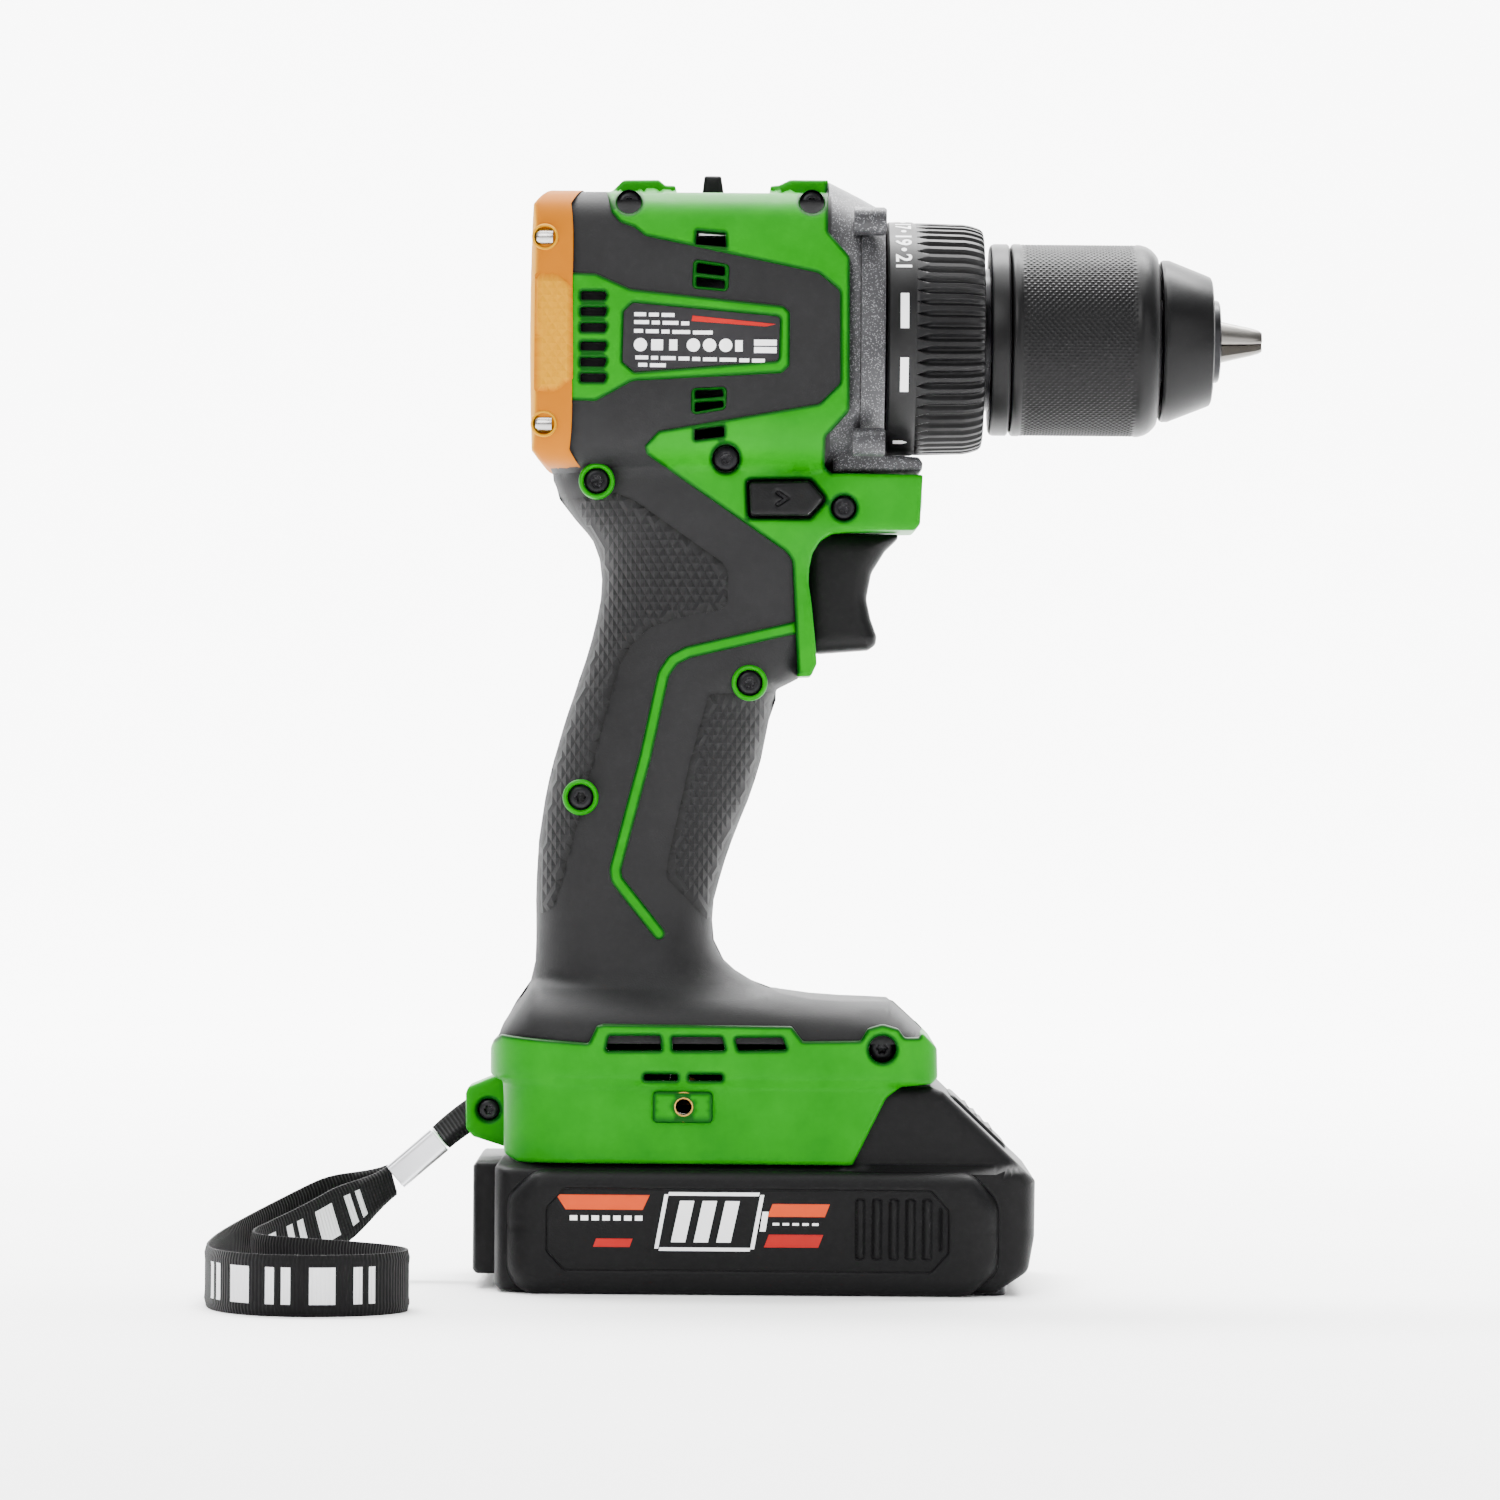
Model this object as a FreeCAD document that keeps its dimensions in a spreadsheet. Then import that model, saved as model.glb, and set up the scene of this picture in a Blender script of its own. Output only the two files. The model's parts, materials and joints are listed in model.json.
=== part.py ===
import FreeCAD, Part
import math
import os
import re
import Sketcher
from FreeCAD import Rotation, Vector

# Cordless drill and driver with a keyless chuck, a clutch collar, a slide-off battery and a
# wrist strap. +X is the nose, +Z is up, and -Y is the drill's right-hand side. The origin is the
# centre of the battery's underside, so the drill stands on Z = 0. All lengths are millimetres.

doc = FreeCAD.newDocument("CordlessDrill")
sheet = doc.addObject("Spreadsheet::Sheet", "Sizes")
pieces = []

SIZES = {
    # Motor, gearbox and chuck share one level axis.
    "head_axis": 196.4,
    # Rear part of the head: a rounded block.
    "head_back": -42.0, "head_front": 15.5, "head_half": 27.0, "head_top": 225.2,
    "head_bottom": 168.4, "head_corner": 16.0, "wall": 2.5, "boss_top": 228.0,
    "vent_low": 185.5, "vent_pitch": 3.35, "vent_height": 1.7,
    # Orange cap behind the motor.
    "cap_back": -45.8, "cap_half": 24.0, "cap_low": 169.2, "cap_high": 225.0,
    "cap_band_front": -36.7, "cap_band_low": 184.3, "cap_band_high": 206.1, "cap_skin": 1.5,
    # Nose block over the trigger.
    "nose_front": 34.7, "nose_low": 155.9, "nose_high": 168.0, "nose_half": 18.0,
    # Gear housing and its tube.
    "gear_front": 27.0, "gear_half": 26.0, "gear_top": 228.4, "gear_low": 168.4,
    "tube_radius": 15.0, "tube_front": 44.4, "gear_bore": 19.5, "ring_end": 26.5,
    # Grip and its soft cover.
    "cover_skin": 2.0, "grip_wall": 2.2,
    # Foot that takes the battery.
    "foot_back": -50.2, "foot_low": 26.3, "band_low": 43.0, "band_high": 51.5,
    "band_back": -52.5, "band_front": 39.0, "band_half": 33.0, "foot_half": 31.5,
    "foot_corner": 12.0, "rail_half": 24.3, "rail_low": 32.0, "rail_high": 36.3,
    "tower_slot": 21.5, "tower_roof": 41.3, "slide_gap": 0.3,
    # Battery.
    "pack_back": -51.3, "pack_front": 58.8, "pack_half": 33.5, "pod_front": 50.0,
    "pod_half": 37.0, "pack_joint": 13.7, "pack_top": 25.8, "pack_corner": 6.0,
    "pack_wall": 2.5, "pack_floor": 3.6, "wedge_top": 42.4, "wedge_half": 30.0,
    "cell_radius": 9.1, "cell_length": 65.0, "cell_pitch": 19.2, "cell_count": 5.0,
    # Chuck.
    "ring_back": 49.0, "ring_front": 53.1, "sleeve_back": 53.3,
    "sleeve_front": 84.0, "sleeve_radius": 20.0, "sleeve_inner": 18.3, "cone_back": 84.6,
    "cone_front": 95.3, "cone_wide": 16.8, "cone_narrow": 13.4, "chuck_front": 97.0,
    "jaw_tip": 106.0, "jaw_tilt": 14.0, "jaw_radius": 3.25, "jaw_length": 32.5,
    "jaw_tip_radius": 2.45, "running_gap": 0.05, "chuck_bore": 5.2,
    "nut_back": 74.0, "nut_front": 81.0,
    # Clutch collar.
    "collar_back": 27.3, "collar_front": 47.7, "collar_radius": 24.3, "collar_inner": 21.0,
    # Motor and gears.
    "stator_radius": 21.0, "stator_back": -20.0, "stator_front": -6.0, "rotor_radius": 10.5,
    "shaft_radius": 2.5, "fan_radius": 19.0, "gear_module": 0.7, "sun_one": 12.0,
    "planet_one": 18.0, "sun_two": 18.0, "planet_two": 15.0, "ring_teeth": 48.0,
    "pressure_angle": 20.0, "tooth_factor": 0.75, "tooth_slack": 0.09, "pin_radius": 1.5,
    # Controls.
    "trigger_front": 30.4, "trigger_half": 7.5,
    "lever_half": 21.5, "selector_top": 229.7,
    # Fasteners.
    "screw_head": 2.6, "screw_shank": 1.4, "screw_head_deep": 2.2, "insert_bore": 1.65,
    # Wrist strap: a 12 x 1 ribbon, held here by a round tube of the same section area.
    "strap_tube": 1.95,
}

for row, (alias, number) in enumerate(SIZES.items(), start=1):
    sheet.set(f"A{row}", alias.replace("_", " "))
    sheet.set(f"B{row}", str(number))
    sheet.setAlias(f"B{row}", alias)
doc.recompute()


def size(text):
    """A length worked out from the sheet, such as size("head_back + wall")."""
    return float(sheet.evalExpression(bound(text)))


def bound(text):
    """An expression with its aliases pointed at the sheet."""
    return re.sub(r"[a-z][a-z_]+", lambda word: "Sizes." + word.group(0)
                  if word.group(0) in SIZES else word.group(0), str(text))


def bind(thing, **places):
    """Bind properties to expressions; a double underscore stands for a dot."""
    for name, text in places.items():
        thing.setExpression(name.replace("__", "."), bound(text))


def piece(thing, label):
    """Register an object as a sub-part of the drill."""
    thing.Label = label
    pieces.append(thing)
    return thing


# --- Primitives and booleans, all bound to the sheet ------------------------------------------

def block(x, y, z):
    """Box between pairs of expressions along each axis."""
    thing = doc.addObject("Part::Box", "Block")
    bind(thing, Length=f"({x[1]}) - ({x[0]})", Width=f"({y[1]}) - ({y[0]})",
         Height=f"({z[1]}) - ({z[0]})", Placement__Base__x=x[0], Placement__Base__y=y[0],
         Placement__Base__z=z[0])
    return thing


def wide_block(x, half, z):
    """Box that is centred across the drill."""
    return block(x, (f"-({half})", half), z)


def rod(axis, start, end, radius, across):
    """Cylinder along X, Y or Z; across holds its place on the other two axes, in order."""
    thing = doc.addObject("Part::Cylinder", "Rod")
    turn = {"X": Rotation(Vector(0, 1, 0), 90), "Y": Rotation(Vector(1, 0, 0), -90),
            "Z": Rotation()}[axis]
    thing.Placement = FreeCAD.Placement(Vector(), turn)
    others = [name for name in "xyz" if name != axis.lower()]
    bind(thing, Radius=radius, Height=f"({end}) - ({start})")
    thing.setExpression(f"Placement.Base.{axis.lower()}", bound(start))
    for name, text in zip(others, across):
        thing.setExpression(f"Placement.Base.{name}", bound(text))
    return thing


def head_rod(start, end, radius):
    """Cylinder on the head axis."""
    return rod("X", start, end, radius, ("0", "head_axis"))


def fuse(*parts):
    thing = doc.addObject("Part::MultiFuse", "Fuse")
    thing.Shapes = list(parts)
    return thing


def cut(base, *tools):
    thing = doc.addObject("Part::Cut", "Cut")
    thing.Base = base
    thing.Tool = tools[0] if len(tools) == 1 else fuse(*tools)
    return thing


def common(*parts):
    thing = doc.addObject("Part::MultiCommon", "Common")
    thing.Shapes = list(parts)
    return thing


def group(*parts):
    """Several separate solids in one node."""
    thing = doc.addObject("Part::Compound", "Group")
    thing.Links = list(parts)
    return thing


def rounded(thing, radius, keep):
    """Round every edge that keep(edge) picks."""
    doc.recompute()
    result = doc.addObject("Part::Fillet", "Rounded")
    result.Base = thing
    value = size(radius)
    result.Edges = [(number, value, value)
                    for number, edge in enumerate(thing.Shape.Edges, start=1) if keep(edge)]
    return result


def runs_along(axis):
    """A test for straight edges parallel to an axis."""
    direction = {"X": Vector(1, 0, 0), "Y": Vector(0, 1, 0), "Z": Vector(0, 0, 1)}[axis]

    def test(edge):
        if edge.Curve.TypeId != "Part::GeomLine":
            return False
        return abs(edge.Curve.Direction.dot(direction)) > 0.999
    return test


# --- Bodies made from sheet-bound sketches ----------------------------------------------------

def outline_sketch(body, role, corners):
    """A closed polygon whose every corner is dimensioned from the body's origin."""
    sketch = body.newObject("Sketcher::SketchObject", "Outline")
    plane = next(item for item in body.Origin.OriginFeatures if item.Role == role)
    sketch.AttachmentSupport = [(plane, "")]
    sketch.MapMode = "FlatFace"
    points = [Vector(size(across), size(up), 0) for across, up in corners]
    count = len(points)
    sketch.addGeometry([Part.LineSegment(points[i], points[(i + 1) % count])
                        for i in range(count)], False)
    rules = [Sketcher.Constraint("Coincident", i, 2, (i + 1) % count, 1) for i in range(count)]
    for i, point in enumerate(points):
        rules.append(Sketcher.Constraint("DistanceX", -1, 1, i, 1, point.x))
        rules.append(Sketcher.Constraint("DistanceY", -1, 1, i, 1, point.y))
    sketch.addConstraint(rules)
    for i, (across, up) in enumerate(corners):
        sketch.setExpression(f"Constraints[{count + 2 * i}]", bound(across))
        sketch.setExpression(f"Constraints[{count + 2 * i + 1}]", bound(up))
    return sketch


def turned(corners):
    """Body of revolution about the head axis from (x, radius) corners."""
    body = doc.addObject("PartDesign::Body", "Turned")
    sketch = outline_sketch(body, "XZ_Plane", corners)
    revolution = body.newObject("PartDesign::Revolution", "Revolution")
    revolution.Profile = sketch
    revolution.ReferenceAxis = (sketch, ["H_Axis"])
    revolution.Angle = 360
    bind(body, Placement__Base__z="head_axis")
    return body


def side_pad(corners, half):
    """Side outline in (x, z), padded equally to both sides of the drill's centre plane."""
    body = doc.addObject("PartDesign::Body", "SidePad")
    sketch = outline_sketch(body, "XZ_Plane", corners)
    pad = body.newObject("PartDesign::Pad", "Pad")
    pad.Profile = sketch
    pad.SideType = "Symmetric"
    bind(pad, Length=f"2 * ({half})")
    return body


# --- Casing -----------------------------------------------------------------------------------

# Grip sections from the head down to the foot: height, back, front and half width.
GRIP_SECTIONS = [
    (167.5, -41.0, 13.5, 20.0), (155.0, -34.5, 12.5, 18.0), (142.0, -31.5, 11.5, 17.0),
    (126.0, -35.0, 10.5, 17.0), (108.0, -40.8, 1.5, 16.8), (92.0, -43.8, -4.0, 16.8),
    (76.0, -44.2, -7.5, 16.8), (64.0, -45.5, 0.0, 18.5), (52.5, -49.0, 20.0, 24.0)]

# Housing screws: x, z and the depth of the head's face from the centre plane.
SCREWS = [(-25.6, 222.5, 14.0), (11.8, 222.8, 14.0), (-5.4, 170.3, 17.5), (18.9, 160.5, 16.8),
          (-31.9, 165.6, 10.5), (-0.2, 124.4, 9.5), (-34.8, 100.6, 9.5), (27.4, 50.0, 30.0)]
LUG_SCREW = (-53.5, 35.5)
SCREW_END = 10.0


def grip_section(height, back, front, half, inset):
    """Corners of a rounded rectangle; each rounded corner is three flats."""
    deep = (front - back) / 2 - inset
    wide = half - inset
    radius = 0.62 * half - inset
    middle = (front + back) / 2
    points = []
    for quarter, (side_x, side_y) in enumerate(((1, 1), (-1, 1), (-1, -1), (1, -1))):
        for step in range(4):
            angle = math.radians(90 * quarter + 30 * step)
            points.append(Vector(middle + side_x * (deep - radius) + radius * math.cos(angle),
                                 side_y * (wide - radius) + radius * math.sin(angle), height))
    return points


def grip_loft(inset):
    """The grip, drawn in on every side by inset.

    The flats at its corners keep one direction all the way down, so that every face between
    two sections is flat.
    """
    rings = [grip_section(*section, size(inset)) for section in GRIP_SECTIONS]
    faces = [Part.Face(Part.makePolygon(ring + ring[:1])) for ring in (rings[0], rings[-1])]
    for upper, lower in zip(rings, rings[1:]):
        for i in range(len(upper)):
            after = (i + 1) % len(upper)
            faces.append(Part.Face(Part.makePolygon(
                [upper[i], upper[after], lower[after], lower[i], upper[i]])))
    thing = doc.addObject("Part::Feature", "GripLoft")
    thing.Shape = Part.Solid(Part.Shell(faces))
    return thing


def shoe(inset):
    """Sloping top of the foot, under the soft cover when inset is its thickness."""
    return rounded(side_pad(
        [(f"-51 + ({inset})", "band_high"), (f"-46 + ({inset})", f"60 - ({inset})"),
         (f"12 - ({inset})", f"60 - ({inset})"), (f"30 - ({inset})", f"58.6 - ({inset})"),
         (f"36.4 - ({inset})", "band_high")], f"29 - ({inset})"), "5 - cover_skin",
        lambda edge: edge.BoundBox.YLength < 0.01 and edge.BoundBox.ZMin > size("band_high"))


def casing_block():
    """Outer form of the hard casing, both halves in one."""
    head = rounded(wide_block(("head_back", "head_front"), "head_half",
                              ("head_bottom", "head_top")), "head_corner", runs_along("X"))
    screw_towers = [wide_block((f"{x} - 5", f"{x} + 3.6"), "14", ("head_top - 6", "boss_top"))
                    for x in (-25.6, 11.8)]
    nose = rounded(side_pad(
        [("-22", "head_bottom + 4"), ("-20", "nose_high"), ("9", "150"), ("9.5", "126"),
         ("13.2", "128"), ("12.3", "145"), ("15", "nose_low - 1.6"), ("19.9", "nose_low"),
         ("nose_front - 1", "nose_low"), ("nose_front", "nose_low + 1.5"),
         ("nose_front", "nose_high"), ("head_front", "nose_high"),
         ("head_front", "head_bottom + 4")], "nose_half"), "3",
        lambda edge: runs_along("X")(edge) and edge.BoundBox.ZMin < size("nose_low") + 0.1)
    core = grip_loft("cover_skin")
    foot_top = shoe("cover_skin")
    band = rounded(wide_block(("band_back", "band_front"), "band_half",
                              ("band_low", "band_high")), "foot_corner", runs_along("Z"))
    foot = rounded(side_pad(
        [("foot_back", "foot_low"), ("21.7", "foot_low"), ("28.3", "39.8"), ("31.3", "42.2"),
         ("32.2", "band_low"), ("foot_back", "band_low")], "foot_half"), "foot_corner",
        lambda edge: runs_along("Z")(edge) and edge.BoundBox.XMax < 0)
    lug = side_pad([("foot_back + 2", "42.2"), ("-57.9", "40.3"), ("-58.4", "39"),
                    ("-58.4", "31.7"), ("-56.8", "29.8"), ("foot_back + 2", "27.5")], "6")
    x, z, _ = SCREWS[-1]
    collar = rod("Y", "-band_half + 1", "band_half - 1", "4.6", (str(x), str(z)))
    return fuse(head, *screw_towers, nose, core, foot_top, band, foot, lug, collar)


def trigger_room():
    return wide_block(("-10", "20"), "trigger_half + 0.3", ("129.5", "155.6"))


def lever_slot():
    return block(("-1", "15.1"), ("-40", "40"), ("158.6", "166.1"))


def casing_space():
    """Everything hollow inside the casing."""
    motor_room = [wide_block(("head_back + wall", "stator_back + 1"), "head_half - wall",
                             ("head_bottom + wall", "head_top - wall")),
                  wide_block(("stator_back + 8", "head_front + 1"), "head_half - wall",
                             ("head_bottom + wall", "head_top - wall")),
                  head_rod("head_back + wall", "head_front + 1", "stator_radius")]
    motor_room = [rounded(motor_room[0], "head_corner - wall", runs_along("X")),
                  rounded(motor_room[1], "head_corner - wall", runs_along("X")), motor_room[2]]
    rear_opening = head_rod("head_back - 1", "head_back + wall + 1", "17")
    hand_room = common(grip_loft("cover_skin + grip_wall"),
                       wide_block(("-60", "40"), "40", ("50", "162")))
    light_room = rod("X", "23", "nose_front + 1", "3.2", ("0", "163"))
    board_room = wide_block(("-40", "30"), "27", ("band_low + 0.4", "band_high - 2"))
    neck = wide_block(("-30", "-8"), "12", ("47", "58"))
    tower_room = wide_block(("-46", "60"), "tower_slot", ("foot_low - 1", "tower_roof"))
    rail_room = wide_block(("-46", "60"), "rail_half", ("rail_low", "rail_high"))
    contact_room = wide_block(("-44", "-14"), "14", ("tower_roof - 1", "band_low + 1"))
    strap_slot = side_pad([("-62", "31.5"), ("-55", "31.5"), ("-55", "39"), ("-62", "39")],
                          "3.2")
    selector_slot = wide_block(("-15.5", "3.1"), "7", ("head_top - 1.4", "boss_top + 1"))
    stem_slot = wide_block(("-10.2", "-1"), "2.2", ("head_top - 5", "boss_top"))
    vents = [block(("-35.2", "-30"), (f"{side} * 30 - 12", f"{side} * 30 + 12"),
                   (f"vent_low + {index} * vent_pitch",
                    f"vent_low + {index} * vent_pitch + vent_height"))
             for side in (-1, 1) for index in range(6)]
    windows = [block(("-11.8", "-5.6"), (f"{side} * 30 - 14", f"{side} * 30 + 14"),
                     (f"{low}", f"{low} + 2"))
               for side in (-1, 1) for low in (174.2, 180.1, 182.7, 204.8, 207.5, 213.8)]
    return [*motor_room, rear_opening, hand_room, trigger_room(), lever_slot(), light_room,
            board_room, neck, tower_room, rail_room, contact_room, strap_slot, selector_slot,
            stem_slot, *vents, *windows]


def screw_bosses():
    """Posts round the long housing screws, inside the casing."""
    posts = [rod("Y", "-14", "14", "2.8", (str(x), str(z))) for x, z, _ in SCREWS[:2]]
    posts += [rod("Y", "-12", "12", "3.2", (str(x), str(z))) for x, z, _ in SCREWS[2:-1]]
    return posts


def screw_holes():
    """Clearance for every housing screw and its head."""
    holes = []
    for x, z, face in SCREWS:
        holes.append(rod("Y", str(-face - 20), f"{-face} + screw_head_deep",
                         "screw_head + 0.05", (str(x), str(z))))
        holes.append(rod("Y", f"{-face}", str(SCREW_END), "screw_shank", (str(x), str(z))))
    x, z = map(str, LUG_SCREW)
    holes.append(rod("Y", "-8", "-6 + 1.6", "screw_head + 0.05", (x, z)))
    holes.append(rod("Y", "-6", "5", "screw_shank", (x, z)))
    return holes


def housing():
    """Right and left casing halves, and the soft cover moulded on each."""
    outer = casing_block()
    gear_seat = wide_block(("head_front", "40"), "40", ("nose_high", "240"))
    inserts = [rod("Y", start, end, "insert_bore + 1.4", ("-12.9", "38"))
               for start, end in (("-40", "-26.5"), ("26.5", "40"))]
    cap_seat = [wide_block(("-50", "cap_band_front + 0.1"), "40",
                           ("cap_band_low - 0.1", "cap_band_high + 0.1"))]
    cap_keep = wide_block(("-60", "cap_band_front + 1"), "head_half - cap_skin",
                          ("cap_band_low - 1", "cap_band_high + 1"))
    skin_cut = cut(cap_seat[0], cap_keep)
    hollow = cut(outer, *casing_space(), gear_seat, skin_cut)
    shell = cut(fuse(hollow, common(fuse(*screw_bosses()), outer)), *screw_holes(), *inserts)
    for label, side in (("housing_right", -1), ("housing_left", 1)):
        half = block(("-70", "70"), (f"{min(side, 0)} * 50", f"{max(side, 0)} * 50"),
                     ("0", "240"))
        piece(common(shell, half), label)
    grip = cut(fuse(grip_loft("0"), shoe("0")), outer, *screw_holes(),
               wide_block(("-60", "70"), "60", ("167.5", "200")),
               wide_block(("9", "40"), "30", ("124", "170")), trigger_room(), lever_slot())
    for label, side in (("grip_cover_right", -1), ("grip_cover_left", 1)):
        half = block(("-70", "70"), (f"{min(side, 0)} * 50", f"{max(side, 0)} * 50"),
                     ("0", "240"))
        piece(common(grip, half), label)


CAP_SCREWS = [(y, z) for y in (-17.5, 17.5) for z in (176.8, 214.9)]
GEAR_SCREWS = [(y, z) for y in (-22.6, 22.6) for z in (174.0, 218.8)]


def rear_cap():
    """Cap behind the motor with a side band on each flank."""
    plate = rounded(wide_block(("cap_back", "head_back"), "cap_half", ("cap_low", "cap_high")),
                    "head_corner - 2", runs_along("X"))
    band = cut(wide_block(("cap_back + 0.6", "cap_band_front"), "head_half",
                          ("cap_band_low", "cap_band_high")),
               wide_block(("head_back", "0"), "head_half - cap_skin + 0.05", ("170", "220")))
    grilles = [wide_block(("cap_back - 1", "head_back + 1"), "9",
                          (f"{low}", f"{low} + 1.8")) for low in (186, 190, 194, 198, 202, 206)]
    holes = [rod("X", "cap_back - 1", "head_back + 1", "1.5", (str(y), str(z)))
             for y, z in CAP_SCREWS]
    seats = [rod("X", "cap_back - 1", "cap_back + 2.2", "2.75", (str(y), str(z)))
             for y, z in CAP_SCREWS]
    return piece(cut(fuse(plate, band), *grilles, *holes, *seats), "rear_cap")


def cap_screws():
    """Four screws that hold the cap, each a head and a shank."""
    screws = [fuse(rod("X", "cap_back + 0.4", "cap_back + 2.2", "2.6", (str(y), str(z))),
                   rod("X", "cap_back + 2.2", "head_back", "1.45", (str(y), str(z))))
              for y, z in CAP_SCREWS]
    return piece(group(*screws), "rear_cap_screws")


def housing_screws():
    """Screws that clamp the two casing halves, and the one across the strap lug."""
    screws = []
    for x, z, face in SCREWS:
        head = rod("Y", f"{-face}", f"{-face} + screw_head_deep", "screw_head", (str(x), str(z)))
        socket = rod("Y", f"{-face} - 1", f"{-face} + 1.2", "1.1", (str(x), str(z)))
        shank = rod("Y", f"{-face} + screw_head_deep", str(SCREW_END), "screw_shank",
                    (str(x), str(z)))
        screws.append(fuse(cut(head, socket), shank))
    x, z = map(str, LUG_SCREW)
    screws.append(fuse(rod("Y", "-6", "-4.4", "screw_head", (x, z)),
                       rod("Y", "-4.4", "5", "screw_shank", (x, z))))
    return piece(group(*screws), "housing_screws")


def gear_housing():
    """Metal nose that carries the ring gear, the spindle bearing and the clutch."""
    flange = rounded(wide_block(("head_front", "gear_front"), "gear_half",
                                ("gear_low", "gear_top")), "14", runs_along("X"))
    chin = wide_block(("head_front", "nose_front"), "14", ("nose_high", "171.6"))
    tube = head_rod("gear_front", "tube_front", "tube_radius")
    solid = cut(fuse(flange, chin, tube),
                head_rod("head_front - 1", "head_front + 1.3", "22.5"),
                head_rod("head_front", "ring_end", "gear_bore"),
                head_rod("ring_end - 1", "tube_front - 2", "12"),
                head_rod("tube_front - 3", "tube_front + 1", "9"))
    holes = [rod("X", "head_front - 1", "gear_front + 1", "1.45", (str(y), str(z)))
             for y, z in GEAR_SCREWS]
    seats = [rod("X", "gear_front - 2", "gear_front + 1", "2.7", (str(y), str(z)))
             for y, z in GEAR_SCREWS]
    return piece(cut(solid, *holes, *seats), "gear_housing")


def gear_housing_screws():
    """Four screws through the gear housing's corners."""
    screws = [fuse(rod("X", "gear_front - 2", "gear_front - 0.2", "2.6", (str(y), str(z))),
                   rod("X", "head_front", "gear_front - 2", "1.4", (str(y), str(z))))
              for y, z in GEAR_SCREWS]
    return piece(group(*screws), "gear_housing_screws")


# --- Motor ------------------------------------------------------------------------------------

def motor():
    """Brushless motor: wound stator, magnet rotor on a shaft, fan and two bearings."""
    slots = []
    for index in range(6):
        angle = math.radians(60 * index)
        slots.append(rod("X", "stator_back - 1", "stator_front + 1", "3.4",
                         (f"{13.6 * math.cos(angle)}", f"head_axis + {13.6 * math.sin(angle)}")))
    ring = cut(head_rod("stator_back", "stator_front", "stator_radius"),
               head_rod("stator_back - 1", "stator_front + 1", "rotor_radius + 0.4"), *slots)
    piece(ring, "motor_stator")
    coils = []
    for index in range(6):
        angle = math.radians(60 * index)
        coils.append(rod("X", "stator_back - 3", "stator_front + 3", "2.7",
                         (f"{14.0 * math.cos(angle)}", f"head_axis + {14.0 * math.sin(angle)}")))
    piece(group(*coils), "motor_windings")
    bearings = [turned([(f"{low}", "shaft_radius"), (f"{low} + 4", "shaft_radius"),
                        (f"{low} + 4", "6.5"), (f"{low}", "6.5")]) for low in (-39.5, 0.2)]
    carrier_wall = turned([("0.2", "6.5"), ("4.2", "6.5"), ("4.2", "9"), ("6", "9"),
                           ("6", "18"), ("0.2", "18")])
    piece(group(*bearings), "motor_bearings")
    piece(carrier_wall, "motor_end_plate")
    piece(turned([("stator_back - 2", "shaft_radius"), ("stator_front + 2", "shaft_radius"),
                  ("stator_front + 2", "rotor_radius"), ("stator_back - 2", "rotor_radius")]),
          "rotor_core")
    piece(turned([("-39.5", "0"), ("12.4", "0"), ("12.4", "shaft_radius - 0.5"),
                  ("6.4", "shaft_radius - 0.5"), ("6.4", "shaft_radius"),
                  ("-39.5", "shaft_radius")]), "rotor_shaft")
    hub = turned([("-34", "shaft_radius"), ("-27.5", "shaft_radius"), ("-27.5", "5"),
                  ("-29.4", "5"), ("-29.4", "fan_radius"), ("-30.4", "fan_radius"),
                  ("-30.4", "5"), ("-34", "5")])
    blades = []
    for index in range(9):
        blade = block(("-34", "-30.2"), ("-0.6", "0.6"), ("4.6", "fan_radius - 0.5"))
        turn = Rotation(Vector(1, 0, 0), 40 * index)
        blade.setExpression("Placement.Base.y", None)
        blade.setExpression("Placement.Base.z", None)
        start = turn.multVec(Vector(0, -0.6, 4.6))
        blade.Placement = FreeCAD.Placement(start + Vector(-34, 0, size("head_axis")), turn)
        blades.append(blade)
    piece(fuse(hub, *blades), "cooling_fan")


# --- Gears ------------------------------------------------------------------------------------

def involute_outline(teeth, slack, outer_factor, inner_factor, phase):
    """Closed gear outline about the origin; one tooth is centred on the angle phase.

    Each flank is an involute from the base circle to the tip circle, drawn through five points.
    A positive slack thins the teeth, and a negative one widens them for an internal gear's
    cutter.
    """
    module = SIZES["gear_module"]
    pressure = math.radians(SIZES["pressure_angle"])
    pitch = module * teeth / 2
    base = pitch * math.cos(pressure)
    tip = pitch + outer_factor * module
    root = pitch - inner_factor * module
    involute = math.tan(pressure) - pressure
    half_tooth = math.pi / (2 * teeth) - slack / (2 * pitch)
    points = []
    start = max(base, root)
    for tooth in range(teeth):
        centre = phase + 2 * math.pi * tooth / teeth
        flank = []
        for step in range(5):
            radius = start + (tip - start) * step / 4
            roll = math.acos(min(1.0, base / radius))
            flank.append((radius, half_tooth + involute - (math.tan(roll) - roll)))
        if root < start:
            flank.insert(0, (root, flank[0][1]))
        both = [(radius, -angle) for radius, angle in flank] + list(reversed(flank))
        points += [Vector(radius * math.cos(centre + angle), radius * math.sin(centre + angle), 0)
                   for radius, angle in both]
    return Part.Face(Part.makePolygon(points + points[:1]))


def on_head_axis(thing, start, side=0.0, down=0.0):
    """Stand a shape made about +Z on the head axis, so its +Z points to the nose."""
    thing.Placement = FreeCAD.Placement(Vector(start, side, size("head_axis") - down),
                                        Rotation(Vector(0, 1, 0), 90))


def gear_feature(shape, start, side=0.0, down=0.0):
    thing = doc.addObject("Part::Feature", "Gear")
    thing.Shape = shape
    on_head_axis(thing, start, side, down)
    return thing


def external_gear(teeth, width, bore, phase):
    """Spur gear with a plain bore."""
    face = involute_outline(teeth, SIZES["tooth_slack"], SIZES["tooth_factor"], 1.0, phase)
    return face.extrude(Vector(0, 0, width)).cut(Part.makeCylinder(bore, width))


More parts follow.
